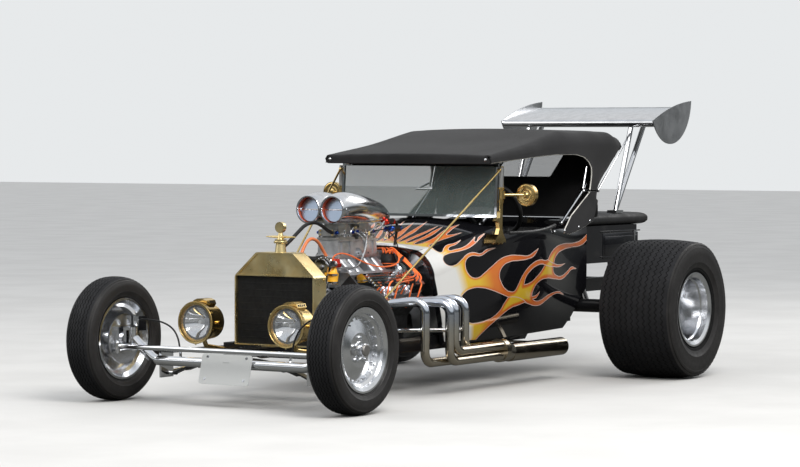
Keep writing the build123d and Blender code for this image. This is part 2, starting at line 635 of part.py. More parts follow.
def tunnel_volume(front, rear, inset):
    """The arch over the gearbox, between two stations, moved in for its inside."""
    half, top = TUNNEL_HALF - inset, TUNNEL_TOP_Z - inset
    low = RAIL_BOTTOM_Z
    arch = make_face(Plane.YZ * Curve(children=[
        Line((half, low), (half, TUNNEL_SIDE_Z)),
        ThreePointArc((half, TUNNEL_SIDE_Z), (0, top), (-half, TUNNEL_SIDE_Z)),
        Line((-half, TUNNEL_SIDE_Z), (-half, low)), Line((-half, low), (half, low))]))
    return Pos(aft(rear), 0, 0) * extrude(arch, rear - front, dir=(1, 0, 0))


def make_floor_pan():
    """Floor between the body's walls, a raised tunnel over the gearbox and a deck at the seat."""
    wide = 600
    front = block(aft(DECK_FRONT), aft(FLOOR_FRONT), -wide, wide, FLOOR_Z, FLOOR_Z + FLOOR_THICK)
    step = block(aft(DECK_FRONT), aft(DECK_FRONT - FLOOR_THICK), -wide, wide, FLOOR_Z, DECK_Z + FLOOR_THICK)
    deck = block(aft(BODY_REAR), aft(DECK_FRONT), -wide, wide, DECK_Z, DECK_Z + FLOOR_THICK)
    tunnel = tunnel_volume(FLOOR_FRONT, TUNNEL_END, 0.0) & block(
        aft(TUNNEL_END), aft(FLOOR_FRONT), -wide, wide, FLOOR_Z, 600)
    pan = fused(front, step, deck) & body_inner
    pan = fused(pan, tunnel)
    return pan - tunnel_volume(FLOOR_FRONT - 10, TUNNEL_END + 10, FLOOR_THICK)


keep("floor_pan", make_floor_pan())


def make_firewall():
    """Plate across the cowl just inside its front edge, leaning with it."""
    lean = (FIREWALL_FOOT - FIREWALL_HEAD) / (790 - 200)
    deep = 34.0
    thick = 10.0
    shape = side_prism([(FIREWALL_FOOT + deep, 200), (FIREWALL_HEAD + deep, 790),
                        (FIREWALL_HEAD + deep + thick, 790), (FIREWALL_FOOT + deep + thick, 200)])
    above_floor = block(aft(1700), aft(1200), -400, 400, FLOOR_Z + FLOOR_THICK + FIT, 900)
    opening = tunnel_volume(FIREWALL_FOOT - 200, FIREWALL_FOOT + 200, -FIT)
    return (body_inner & shape & above_floor) - opening


keep("firewall", make_firewall())


# Engine: a V8 of plain form with its sump, and the gearbox and shaft behind it
CRANK_Z = 335.0
ENGINE_FRONT = 824.0
ENGINE_REAR = 1345.0
BANK_ANGLE = 45.0
DECK_HEIGHT = 230.0
HEAD_TOP = 325.0
HEAD_HALF = 90.0
SUMP_Z = 205.0


def bank_point(up, out):
    """A point of the left bank: distance up its axis and outward from it."""
    a = radians(BANK_ANGLE)
    return (up * sin(a) + out * cos(a), CRANK_Z + up * cos(a) - out * sin(a))


def prism(half_outline, front, rear):
    """Extrude a symmetric front view, given as its left half, between two stations."""
    flip = [(-y, z) for y, z in reversed(half_outline)]
    face = make_face(Plane.YZ * Polyline(*(half_outline + flip), close=True))
    return Pos(aft(rear), 0, 0) * extrude(face, rear - front, dir=(1, 0, 0))


def make_engine():
    outline = [(115, SUMP_Z), (130, 300), (185, 320), (195, 400), bank_point(DECK_HEIGHT, HEAD_HALF),
               bank_point(HEAD_TOP, HEAD_HALF), bank_point(HEAD_TOP, -HEAD_HALF),
               bank_point(DECK_HEIGHT, -HEAD_HALF), (60, 545)]
    core = prism(outline, ENGINE_FRONT, ENGINE_REAR)
    bell = bar((aft(ENGINE_REAR), 0, CRANK_Z), (aft(ENGINE_REAR + 110), 0, CRANK_Z), 175, 120)
    gearbox = bar((aft(ENGINE_REAR + 108), 0, CRANK_Z - 6), (aft(ENGINE_REAR + 620), 0, CRANK_Z - 30),
                  112, 70)
    bell = bell - block(aft(2400), aft(1000), -400, 400, 0, 190)
    return core, fused(bell, gearbox)


engine, gearbox = make_engine()
SHAFT_R = 34.0
shaft = bar((aft(ENGINE_REAR + 620.3), 0, CRANK_Z - 30),
            (REAR_AXLE_X + 186, 0, REAR_HUB_Z - 10), SHAFT_R) - rear_axle - gearbox
keep("engine_block", engine)
keep("driveline", solids(gearbox, shaft))

COVER_THICK = 58.0


def make_valve_covers():
    """Ribbed covers on top of both heads."""
    pieces = []
    for side in (1, -1):
        low = [bank_point(HEAD_TOP + FIT, a) for a in (-70, 70)]
        high = [bank_point(HEAD_TOP + COVER_THICK, a) for a in (52, -52)]
        outline = [(side * y, z) for y, z in low + high]
        face = make_face(Plane.YZ * Polyline(*outline, close=True))
        cover = Pos(aft(ENGINE_REAR - 8), 0, 0) * extrude(face, ENGINE_REAR - ENGINE_FRONT - 16,
                                                          dir=(1, 0, 0))
        cover = fillet(cover.edges().filter_by(Axis.X).sort_by(Axis.Z)[-2:], 14)
        ribs = []
        for i in range(5):
            out = -36 + 18 * i
            foot = bank_point(HEAD_TOP + COVER_THICK - 3, out - 3)
            tip = bank_point(HEAD_TOP + COVER_THICK + 5, out + 3)
            foot2 = bank_point(HEAD_TOP + COVER_THICK - 3, out + 3)
            tip2 = bank_point(HEAD_TOP + COVER_THICK + 5, out - 3)
            shape = [(side * y, z) for y, z in (foot, foot2, tip, tip2)]
            rib = make_face(Plane.YZ * Polyline(*shape, close=True))
            ribs.append(Pos(aft(ENGINE_REAR - 40), 0, 0) * extrude(
                rib, ENGINE_REAR - ENGINE_FRONT - 80, dir=(1, 0, 0)))
        pieces.append(fused(cover, *ribs))
    return solids(*pieces)


keep("valve_covers", make_valve_covers())

# Tall intake: a valley plate between the heads, four sloping runners a side and the box on
# top of them that carries both carburettors
PLENUM_FRONT = 872.0
PLENUM_REAR = 1240.0
PLENUM_HALF = 66.0
PLENUM_BASE_Z = 722.0
PLENUM_TOP_Z = 808.0
FLANGE_THICK = 9.0
RUNNER_STATIONS = [904.0, 978.0, 1128.0, 1204.0]
RUNNER_DEPTH = 62.0


def make_intake():
    inner_low = bank_point(DECK_HEIGHT, -HEAD_HALF)
    inner_high = bank_point(HEAD_TOP, -HEAD_HALF)
    valley = [(inner_low[0] - 8, inner_low[1] + FIT), (inner_low[0], inner_low[1] + 2 * FIT),
              (inner_high[0], inner_high[1] + 2 * FIT), (inner_high[0] - 20, inner_high[1] + 14)]
    plate = prism(valley, ENGINE_FRONT + 10, ENGINE_REAR - 10)
    trough = prism([(70, 605), (112, 660)], ENGINE_FRONT + 40, ENGINE_REAR - 40)
    flange = block(aft(PLENUM_REAR + 8), aft(PLENUM_FRONT - 8), -PLENUM_HALF - 12, PLENUM_HALF + 12,
                   PLENUM_BASE_Z - FLANGE_THICK, PLENUM_BASE_Z)
    pieces = [plate - trough, flange]
    foot_y = (inner_low[0] + inner_high[0]) / 2
    foot_z = (inner_low[1] + inner_high[1]) / 2
    for station in RUNNER_STATIONS:
        for side in (1, -1):
            top = Pos(aft(station), side * 38, PLENUM_BASE_Z - FLANGE_THICK / 2) * RectangleRounded(
                RUNNER_DEPTH, 56, 16)
            low = Plane(origin=(aft(station), side * (foot_y - 14), foot_z + 18),
                        x_dir=(1, 0, 0), z_dir=(0, -side, 1)) * RectangleRounded(RUNNER_DEPTH - 4, 74, 16)
            pieces.append(loft([top, low]))
    return fused(*pieces)


def make_plenum():
    """Cast box with a raised arch on each side between its two pairs of runners."""
    wide = PLENUM_HALF
    outline = [(wide, PLENUM_BASE_Z + FIT), (wide, PLENUM_BASE_Z + 26), (wide - 4, PLENUM_TOP_Z - 12),
               (wide - 12, PLENUM_TOP_Z)]
    case = prism(outline, PLENUM_FRONT, PLENUM_REAR)
    middle = (RUNNER_STATIONS[1] + RUNNER_STATIONS[2]) / 2
    arch = bar((aft(middle), -wide - 20, PLENUM_BASE_Z - 4), (aft(middle), -wide + 26, PLENUM_BASE_Z - 4), 46)
    case = case - arch - across(arch)
    rim = block(aft(PLENUM_REAR + 6), aft(PLENUM_FRONT - 6), -wide - 10, wide + 10,
                PLENUM_BASE_Z + FIT, PLENUM_BASE_Z + 8)
    top = block(aft(PLENUM_REAR), aft(PLENUM_FRONT), -wide - 6, wide + 6, PLENUM_TOP_Z - 9, PLENUM_TOP_Z)
    # distance of each pair of ribs behind the front axle
    ribs = []
    for station in RUNNER_STATIONS:
        ribs.append(block(aft(station) - 4, aft(station) + 4, -wide - 5, wide + 5,
                          PLENUM_BASE_Z + 6, PLENUM_TOP_Z - 6))
    return fused(case, rim - arch - across(arch), top, *ribs)


keep("intake_manifold", make_intake())
keep("intake_plenum", make_plenum())

# Front drive: crank, water pump and alternator pulleys in one plane with a belt round each
# neighbouring two
DRIVE_REAR = 742.0
CRANK_PULLEY_R = 78.0
PUMP_PULLEY_R = 62.0
PUMP_Z = 492.0
ALTERNATOR_Y = 62.0
ALTERNATOR_Z = 672.0
ALTERNATOR_R = 58.0
ALTERNATOR_PULLEY_R = 34.0
BELT_WIDTH = 13.0
BELT_THICK = 8.0


def belt_loop(low, low_r, high, high_r, station):
    """A belt round two pulleys given by (y, z) centres, in the plane of a station."""
    run = hypot(high[0] - low[0], high[1] - low[1])
    lean = (low_r - high_r) / run

    def outline(grow):
        a = (sqrt(1 - lean * lean) * (low_r + grow), lean * (low_r + grow))
        b = (sqrt(1 - lean * lean) * (high_r + grow), run + lean * (high_r + grow))
        return make_face(Plane.YZ * Curve(children=[
            Line(a, b), ThreePointArc(b, (0, run + high_r + grow), (-b[0], b[1])),
            Line((-b[0], b[1]), (-a[0], a[1])), ThreePointArc((-a[0], a[1]), (0, -low_r - grow), a)]))

    loop = extrude(outline(BELT_THICK), BELT_WIDTH, dir=(1, 0, 0)) - extrude(
        outline(0.0), BELT_WIDTH, dir=(1, 0, 0))
    turn = degrees(atan2(high[0] - low[0], high[1] - low[1]))
    return Pos(aft(station), low[0], low[1]) * Rot(-turn, 0, 0) * loop


def pulley(y, z, radius, rear, front):
    """A pulley between two stations."""
    return bar((aft(rear), y, z), (aft(front), y, z), radius)


def make_front_drive():
    crank, pump, alternator = (0.0, CRANK_Z), (0.0, PUMP_Z), (ALTERNATOR_Y, ALTERNATOR_Z)
    middle = DRIVE_REAR - BELT_WIDTH - 6
    low_belt = belt_loop(crank, CRANK_PULLEY_R, pump, PUMP_PULLEY_R, DRIVE_REAR)
    high_belt = belt_loop(pump, PUMP_PULLEY_R, alternator, ALTERNATOR_PULLEY_R, middle)
    rounds = [pulley(*crank, CRANK_PULLEY_R, DRIVE_REAR, DRIVE_REAR - BELT_WIDTH),
              pulley(*pump, PUMP_PULLEY_R, DRIVE_REAR, middle - BELT_WIDTH),
              pulley(*alternator, ALTERNATOR_PULLEY_R, middle, middle - BELT_WIDTH)]
    shafts = [pulley(*crank, 30, ENGINE_FRONT - FIT, DRIVE_REAR - 20),
              pulley(*pump, 24, ENGINE_FRONT - FIT, middle - 22)]
    case = pulley(*alternator, ALTERNATOR_R, ENGINE_FRONT - 6, middle + 10)
    spindle = pulley(*alternator, 14, middle + 12, middle - BELT_WIDTH - 6)
    stay = bar((aft(ENGINE_FRONT - 14), 0, PUMP_Z + 10), (aft(ENGINE_FRONT - 14), *alternator), 13)
    housing = bar((aft(ENGINE_FRONT - FIT), 0, PUMP_Z), (aft(ENGINE_FRONT - 50), 0, PUMP_Z), 74, 40)
    return fused(low_belt, *rounds, *shafts, housing, stay, case, spindle, high_belt)


front_drive = make_front_drive()
keep("front_drive", front_drive)

# Ignition: the distributor between the intake and the firewall, and the coil by the alternator
DISTRIBUTOR = (1296.0, 100.0)
DISTRIBUTOR_R = 42.0
COIL = (690.0, 148.0)
COIL_R = 27.0


def make_distributor():
    x, y = aft(DISTRIBUTOR[0]), DISTRIBUTOR[1]
    body = fused(bar((x, y, 643), (x, y, 662), 24), bar((x, y, 660), (x, y, 692), DISTRIBUTOR_R - 4),
                 bar((x, y, 690), (x, y, 722), DISTRIBUTOR_R, DISTRIBUTOR_R - 8))
    towers = []
    for i in range(8):
        a = radians(45 * i + 22.5)
        tx, ty = x + 25 * cos(a), y + 25 * sin(a)
        towers.append(bar((tx, ty, 716), (tx, ty, 730), 5.5))
    return fused(body, *towers)


def make_coil():
    """A canister on a bracket from the alternator."""
    x, y = aft(COIL[0]), COIL[1]
    can = bar((x, y, 590), (x - 10, y, 646), COIL_R)
    head = bar((x - 10, y, 645), (x - 14, y, 668), COIL_R - 6, 14)
    tower = bar((x - 14, y, 666), (x - 16, y, 682), 8)
    strap = block(x - 70, x, y - 48, y - COIL_R + 4, 632, 646)
    return fused(can, head, tower, strap) - front_drive


keep("distributor", make_distributor())
keep("ignition_coil", make_coil())

SCOOP_FRONT = 795.0
SCOOP_BASE_Z = 893.0
INLET_Z = 967.0
INLET_Y = 75.0
INLET_R = 73.0
SCOOP_WALL = 5.0


# Rings of a scoop tube: setback, distance from the centre line, height, radius
SCOOP_RINGS = [(SCOOP_FRONT, 75.0, 967.0, 73.0), (1070.0, 75.0, 966.0, 71.0), (1200.0, 70.0, 952.0, 58.0),
               (1290.0, 62.0, 938.0, 42.0), (1350.0, 55.0, 922.0, 22.0)]
CARB_STATIONS = [946.0, 1146.0]


def make_carburettors():
    """Two four-barrel carburettors on the plenum, each with a bowl at both ends."""
    pieces = []
    for station in CARB_STATIONS:
        x = aft(station)
        base = block(x - 84, x + 84, -64, 64, PLENUM_TOP_Z + FIT, PLENUM_TOP_Z + 12)
        body = block(x - 56, x + 56, -52, 52, PLENUM_TOP_Z + 11, SCOOP_BASE_Z - 12)
        throat = bar((x, 0, SCOOP_BASE_Z - 20), (x, 0, SCOOP_BASE_Z - FIT), 62)
        bowls = []
        for end in (1, -1):
            block_metering = block(x + end * 55, x + end * 64, -46, 46, PLENUM_TOP_Z + 16, SCOOP_BASE_Z - 26)
            bowl = block(x + end * 63, x + end * 92, -50, 50, PLENUM_TOP_Z + 20, SCOOP_BASE_Z - 30)
            bowl = fillet(bowl.edges().filter_by(Axis.X), 9)
            bowls += [block_metering, bowl]
        shaft = bar((x - 24, -72, PLENUM_TOP_Z + 24), (x - 24, 72, PLENUM_TOP_Z + 24), 5)
        shaft2 = bar((x + 24, -72, PLENUM_TOP_Z + 24), (x + 24, 72, PLENUM_TOP_Z + 24), 5)
        pieces.append(fused(base, body, throat, *bowls, shaft, shaft2))
    return solids(*pieces)


def scoop_tube(side):
    """One tube of the scoop, from its round inlet to the low blunt rear end."""
    return loft([Pos(aft(d), side * y, z) * (Plane.YZ * Circle(r)) for d, y, z, r in SCOOP_RINGS])


def make_air_scoop():
    """Polished twin-tube scoop, open at both round inlets."""
    tubes = [scoop_tube(side) for side in (1, -1)]
    base = block(aft(SCOOP_FRONT + 450), aft(SCOOP_FRONT + 50), -INLET_Y, INLET_Y,
                 SCOOP_BASE_Z, INLET_Z - 30)
    tray = block(aft(SCOOP_FRONT + 470), aft(SCOOP_FRONT + 60), -INLET_Y - 12, INLET_Y + 12,
                 SCOOP_BASE_Z, SCOOP_BASE_Z + 6)
    whole = fused(*tubes, base, tray)
    for side in (1, -1):
        y = side * INLET_Y
        bore = bar((aft(SCOOP_FRONT - 1), y, INLET_Z), (aft(SCOOP_FRONT + 200), y, INLET_Z - 2),
                   INLET_R - SCOOP_WALL)
        whole = whole - bore
    return whole


air_scoop = make_air_scoop()
keep("air_scoop", air_scoop)
keep("carburettors", make_carburettors())


# Exhaust: four pipes a side, outward over the rail, down, and back into one side pipe
HEADER_R = 24.0
HEADER_BENDS = [40.0, 62.0, 62.0]
PORT_Y = 262.0
PORT_Z = 469.0
COLLECTOR_FRONT = 1678.0
TAIL_END = 2376.0
TAIL_R = 50.0
TAIL_WALL = 6.0
TAIL_Z = 186.0
TAIL_BORE = 260.0
# Columns: distance of the port behind the front axle, distance of the upright, its distance
# from the centre line, height of the top run, height of the low run
HEADER_PIPES = [
    (905.0, 973.5, 533.0, 505.0, 178.0),
    (1060.0, 1137.5, 583.0, 488.0, 178.0),
    (1115.0, 1188.5, 583.0, 500.0, 228.0),
    (1275.0, 1373.5, 533.0, 498.0, 228.0),
]
# the four low runs lie two by two and end in the collector
BUNDLE_Y = 558.0
BUNDLE_Z = 203.0
COLLECTOR_R = 64.0
COLLECTOR_STRAIGHT = 40.0
COLLECTOR_LENGTH = 130.0
HANGER_SETBACK = 2105.0


def make_headers():
    pieces = []
    for port, upright, y, top, low in HEADER_PIPES:
        route = [(aft(port), PORT_Y + 4, PORT_Z + 2), (aft(port) - 4, PORT_Y + 62, PORT_Z + 12),
                 (aft(upright), y, top), (aft(upright), y, low), (aft(COLLECTOR_FRONT + 20), y, low)]
        pieces.append(pipe(route, HEADER_R, HEADER_BENDS))
    neck = (aft(COLLECTOR_FRONT + COLLECTOR_STRAIGHT), BUNDLE_Y, BUNDLE_Z)
    collector = bar((aft(COLLECTOR_FRONT), BUNDLE_Y, BUNDLE_Z), neck, COLLECTOR_R)
    # the cone runs on inside the tail, so the two meet in a clean weld line
    cone = bar(neck, (aft(COLLECTOR_FRONT + COLLECTOR_LENGTH), BUNDLE_Y, TAIL_Z), COLLECTOR_R, TAIL_R - 4)
    tail = bar((aft(COLLECTOR_FRONT + COLLECTOR_LENGTH - 24), BUNDLE_Y, TAIL_Z),
               (aft(TAIL_END), BUNDLE_Y, TAIL_Z), TAIL_R)
    bore = bar((aft(TAIL_END - TAIL_BORE), BUNDLE_Y, TAIL_Z), (aft(TAIL_END + 2), BUNDLE_Y, TAIL_Z),
               TAIL_R - TAIL_WALL)
    x = aft(HANGER_SETBACK)
    hanger = block(x - 15, x + 15, RAIL_Y + RAIL_WIDTH / 2, BUNDLE_Y - 20, RAIL_BOTTOM_Z + 2, TAIL_Z + 41)
    return fused(*pieces, collector, cone, tail, hanger) - bore - engine


headers = make_headers()
keep("headers_left", headers)
keep("headers_right", across(headers))


# Radiator: brass shell with shouldered top, its dark core, and the filler with its cap
RADIATOR_FRONT = 376.5
RADIATOR_DEPTH = 110.0
RADIATOR_HALF = 245.0
RADIATOR_SHOULDER_Z = 636.0
RADIATOR_TOP_Z = 757.0
RADIATOR_TOP_HALF = 112.0
RADIATOR_FOOT_Z = RAIL_TOP_Z - 8 + FIT
RADIATOR_BORDER = 9.0
TANK_Z = 636.0
TANK_SET_IN = 5.0
CAP_SETBACK = 436.0


def radiator_outline(inset, foot):
    """Front view of the shell, as its left half."""
    i = inset
    return [(RADIATOR_HALF - i, foot), (RADIATOR_HALF - i, RADIATOR_SHOULDER_Z - 0.4 * i),
            (RADIATOR_TOP_HALF - 0.6 * i, RADIATOR_TOP_Z - i)]


def make_radiator():
    rear = RADIATOR_FRONT + RADIATOR_DEPTH
    shell = prism(radiator_outline(0, RADIATOR_FOOT_Z), RADIATOR_FRONT, rear)
    corners = [e for e in shell.edges().filter_by(Axis.X) if e.center().Z > RADIATOR_FOOT_Z + 50]
    shell = fillet(corners, 22)
    border = RADIATOR_BORDER
    below = block(aft(rear + 5), aft(RADIATOR_FRONT - 5), -RADIATOR_HALF, RADIATOR_HALF, 0, TANK_Z)
    room = prism(radiator_outline(border, RADIATOR_FOOT_Z + 6), RADIATOR_FRONT - 2, rear + 2) & below
    # the tank's front sits a little behind the shell's edge
    above = block(aft(rear + 5), aft(RADIATOR_FRONT - 5), -RADIATOR_HALF, RADIATOR_HALF, TANK_Z + 8, 900)
    face = prism(radiator_outline(border, TANK_Z - 40), RADIATOR_FRONT - 2, RADIATOR_FRONT + TANK_SET_IN)
    shell = shell - room - (face & above)
    x, top = aft(CAP_SETBACK), RADIATOR_TOP_Z
    neck = bar((x, 0, top - 4), (x, 0, top + 50), 30, 23)
    collar = bar((x, 0, top + 50), (x, 0, top + 66), 30)
    wings = Pos(x, 0, top + 79) * scale(Sphere(1.0), by=(15, 92, 7))
    stem = bar((x, 0, top + 62), (x, 0, top + 106), 20, 9)
    gauge = bar((x - 11, 0, top + 127), (x + 11, 0, top + 127), 28)
    shell = fused(shell, neck, collar, wings, stem, gauge)
    core = prism(radiator_outline(border + FIT, RADIATOR_FOOT_Z + 6 + FIT), RADIATOR_FRONT + 14, rear - 14)
    core = core & block(aft(rear), aft(RADIATOR_FRONT), -RADIATOR_HALF, RADIATOR_HALF, 0, TANK_Z - FIT)
    return shell, core


radiator_shell, radiator_core = make_radiator()
keep("radiator_shell", radiator_shell)
keep("radiator_core", radiator_core)

# Head lamps on brackets from the rail ends
LAMP_Y = 276.5
LAMP_Z = 407.5
LAMP_FRONT = 79.5
LAMP_R = 108.0
LAMP_BODY_R = 91.0
LAMP_BODY_DEPTH = 130.0
LAMP_DEPTH = 178.0
LENS_BORE_R = 94.0
LENS_SET_IN = 14.0
LENS_THICK = 6.0
# Half section across the vent housing on top of a lamp: distance from its middle, height
# above the lamp's axis
VENT = [(34, 76), (46, 92), (38, 110), (16, 119)]


def make_head_lamps():
    """Brass drum lamps with a deep bezel, a vent housing on top and a hinge boss each side."""
    lamps, lenses = [], []
    for side in (1, -1):
        y = side * LAMP_Y
        x = aft(LAMP_FRONT)
        bezel = bar((x - 30, y, LAMP_Z), (x, y, LAMP_Z), LAMP_R - 6, LAMP_R)
        drum = bar((x - LAMP_BODY_DEPTH, y, LAMP_Z), (x - 30, y, LAMP_Z), LAMP_BODY_R - 4, LAMP_BODY_R + 4)
        back = bar((x - LAMP_DEPTH, y, LAMP_Z), (x - LAMP_BODY_DEPTH, y, LAMP_Z), 50, LAMP_BODY_R - 4)
        vent = Pos(0, y, LAMP_Z) * prism(VENT, LAMP_FRONT + 38, LAMP_FRONT + 118)
        bosses = [bar((x - 62, y + end * 86, LAMP_Z), (x - 62, y + end * 110, LAMP_Z), 10)
                  for end in (1, -1)]
        bore = bar((x - LENS_SET_IN, y, LAMP_Z), (x + 2, y, LAMP_Z), LENS_BORE_R)
        bowl = bar((x - 84, y, LAMP_Z), (x - LENS_SET_IN + 1, y, LAMP_Z), 24, LENS_BORE_R - 5)
        arm_top = (x - 74, y, LAMP_Z - LAMP_BODY_R + 4)
        arm_mid = (x - 94, y, LAMP_Z - LAMP_BODY_R - 32)
        arm_end = (aft(RAIL_FRONT), side * RAIL_Y, RAIL_TOP_Z - 36)
        arm = fused(bar(arm_top, arm_mid, 12), Pos(*arm_mid) * Sphere(12), bar(arm_mid, arm_end, 12))
        lamps.append(fused(bezel, drum, back, vent, *bosses, arm) - bore - bowl)
        lenses.append(bar((x - LENS_SET_IN, y, LAMP_Z), (x - LENS_SET_IN + LENS_THICK, y, LAMP_Z),
                          LENS_BORE_R - FIT))
    return lamps, lenses


lamps, lenses = make_head_lamps()
keep("head_lamps", solids(*[lamp - frame for lamp in lamps]))
keep("lamp_lenses", solids(*lenses))

PLATE_WIDTH = 305.0
PLATE_HEIGHT = 152.0
PLATE_THICK = 3.0
PLATE_Z = 190.0
PLATE_LEAN = 15.0
PLATE_CORNER_R = 14.0


def make_number_plate():
    """Blank leaning plate on a strap that grips the axle tube."""
    strap_end = FRONT_AXLE_X + AXLE_R + 12
    rise = AXLE_TUBE_Z - PLATE_Z
    plate = Box(PLATE_THICK, PLATE_WIDTH, PLATE_HEIGHT)
    plate = fillet(plate.edges().filter_by(Axis.X), PLATE_CORNER_R)
    middle_x = strap_end + rise * sin(radians(PLATE_LEAN)) / cos(radians(PLATE_LEAN))
    plate = Pos(middle_x, 0, PLATE_Z) * Rot(0, -PLATE_LEAN, 0) * plate
    strap = block(FRONT_AXLE_X + AXLE_R, strap_end, -20, 20, AXLE_TUBE_Z - 12, AXLE_TUBE_Z + 12)
    return fused(plate, strap)


keep("number_plate", make_number_plate())

# Windscreen
SCREEN_FOOT = 1760.0
SCREEN_HEAD = 1779.0
SCREEN_HALF = 502.0
SCREEN_FOOT_Z = 914.0
SCREEN_HEAD_Z = 1203.0
SCREEN_BAR = 14.0
GLASS_THICK = 5.0


def screen_slab(half, low, high, thick):
    """A leaning slab in the windscreen's plane."""
    rake = (SCREEN_HEAD - SCREEN_FOOT) / (SCREEN_HEAD_Z - SCREEN_FOOT_Z)
    foot = aft(SCREEN_FOOT + rake * (low - SCREEN_FOOT_Z))
    head = aft(SCREEN_FOOT + rake * (high - SCREEN_FOOT_Z))
    outline = [(foot - thick / 2, low), (foot + thick / 2, low), (head + thick / 2, high),
               (head - thick / 2, high)]
    return extrude(make_face(Plane.XZ * Polyline(*outline, close=True)), half, both=True)


def make_windscreen():
    edge = SCREEN_BAR
    outer = screen_slab(SCREEN_HALF, SCREEN_FOOT_Z, SCREEN_HEAD_Z, SCREEN_BAR)
    inner = screen_slab(SCREEN_HALF - edge, SCREEN_FOOT_Z + edge, SCREEN_HEAD_Z - edge, 60)
    glass = screen_slab(SCREEN_HALF - edge, SCREEN_FOOT_Z + edge, SCREEN_HEAD_Z - edge, GLASS_THICK)
    return outer - inner, glass


screen_frame, screen_glass = make_windscreen()
keep("windscreen_frame", screen_frame)
keep("windscreen_glass", screen_glass)

POST_Y = SCREEN_HALF + 16.0
POST_FOOT_SETBACK = 1766.0
POST_FOOT_Z = 800.0
POST_HEAD_Z = 1190.0
POST_R = 11.0
STAY_FOOT = 584.0


# Side view of the cast claw that holds a post's foot: setback and height
CLAW = [(1718, 912), (1706, 898), (1736, 886), (1742, 856), (1728, 824), (1700, 796), (1698, 778), (1722, 784),
        (1740, 770), (1756, 782), (1772, 770), (1790, 784), (1812, 778), (1810, 796), (1784, 824), (1772, 856),
        (1774, 940), (1750, 940), (1746, 912)]


def claw_outline():
    return make_face(Plane.XZ * Polyline(*[(aft(s), z) for s, z in CLAW], close=True))


def claw_pad(side):
    """The part of the claw that reaches in to the body's side."""
    lower = [(s, z) for s, z in CLAW if z <= 830]
    face = make_face(Plane.XZ * Polyline(*[(aft(s), z) for s, z in lower], close=True))
    return extrude(Pos(0, side * POST_Y, 0) * face, 60, dir=(0, -side, 0))


def post_ends(side):
    return ((aft(POST_FOOT_SETBACK), side * POST_Y, POST_FOOT_Z),
            (aft(SCREEN_HEAD + 4), side * POST_Y, POST_HEAD_Z))


def make_windscreen_posts():
    """A post, foot and stay rod each side."""
    pieces = []
    for side in (1, -1):
        y = side * POST_Y
        post = bar(*post_ends(side), POST_R)
        claw = Pos(0, y, 0) * extrude(claw_outline(), POST_R, both=True)
        claw = fused(claw, claw_pad(side)) - Pos(0, side * FIT, 0) * body_outer
        grips = [bar((aft(SCREEN_FOOT + 2), side * SCREEN_HALF, z), (aft(SCREEN_FOOT + 6), y, z), 8)
                 for z in (940.0, 1170.0)]
        stay = bar((aft(SCREEN_HEAD + 4), y, 1181.0), (aft(STAY_FOOT), side * RAIL_Y, RAIL_TOP_Z - 3), 6)
        piece = fused(post, claw, *grips, stay) - frame - screen_frame
        pieces.append(sorted(piece.solids(), key=lambda s: s.volume)[-1])
    return solids(*pieces)


keep("windscreen_posts", make_windscreen_posts())

MIRROR_R = 60.0
MIRROR_Y = 628.0
MIRROR_SETBACK = 1868.0
MIRROR_Z = 1036.0
MIRROR_CLAMP_R = 14.0
MIRROR_CLAMP_SETBACK = 1776.0


def make_mirrors():
    """Round brass mirrors on arms from the posts."""
    pieces = []
    for side in (1, -1):
        inner, outer = side * (POST_Y + POST_R), side * MIRROR_Y
        x = aft(MIRROR_SETBACK)
        post = bar(*post_ends(side), POST_R + FIT)
        arm = bar((aft(MIRROR_CLAMP_SETBACK), inner, MIRROR_Z), (x, outer, MIRROR_Z), 8)
        clamp = bar((aft(MIRROR_CLAMP_SETBACK), inner - side * 2, MIRROR_Z - 21),
                    (aft(MIRROR_CLAMP_SETBACK), inner - side * 2, MIRROR_Z + 22), MIRROR_CLAMP_R)
        dish = bar((x - 14, outer, MIRROR_Z), (x + 14, outer, MIRROR_Z), MIRROR_R)
        pieces.append(fused(arm, clamp, dish) - post)
    return solids(*pieces)


keep("mirrors", make_mirrors())

# Cloth top: a roof drawn tight between the header and three bows, with side bands, quarter
# panels that run down over the body's sides, and a back curtain with a window
TOP_FRONT = 1640.0
TOP_REAR = 3140.0
TOP_CLOTH = 12.0
TOP_LOW_Z = 790.0
# Columns: distance behind the front axle, half width, height of the side's upper edge, half
# width at the shoulder, shoulder height, crown height
TOP_SECTIONS = [
    (TOP_FRONT, 530.0, 1230.0, 500.0, 1246.0, 1254.0),
    (2470.0, 538.0, 1300.0, 470.0, 1384.0, 1396.0),
    (3056.0, 536.0, 1300.0, 470.0, 1380.0, 1392.0),
    (TOP_REAR, 530.0, 1276.0, 470.0, 1352.0, 1364.0),
]
# Lower edge of the side bands and quarter panels in side view: setback and height
TOP_EDGE = [(TOP_REAR, 1300), (2868, 1085), (2846, 1039), (2838, 994), (2822, 944), (2784, 876), (2700, 850),
            (2614, 826), (2500, 808), (2458, 812), (2448, 828), (2528, 909), (2706, 1014), (2744, 1036),
            (2762, 1095), (2772, 1149), (2766, 1180), (2734, 1212), (2676, 1240), (2582, 1254), (2350, 1254),
            (2126, 1242), (TOP_FRONT, 1208)]
# Back curtain in side view, outer face then inner face: setback and height
CURTAIN = [(TOP_REAR, 1500), (TOP_REAR, 1300), (2868, 1085), (2846, 1039), (2838, 990), (2838, 897),
           (2826, 897), (2826, 992), (2834, 1042), (2855, 1092), (TOP_REAR - 14, 1306), (TOP_REAR - 12, 1500)]


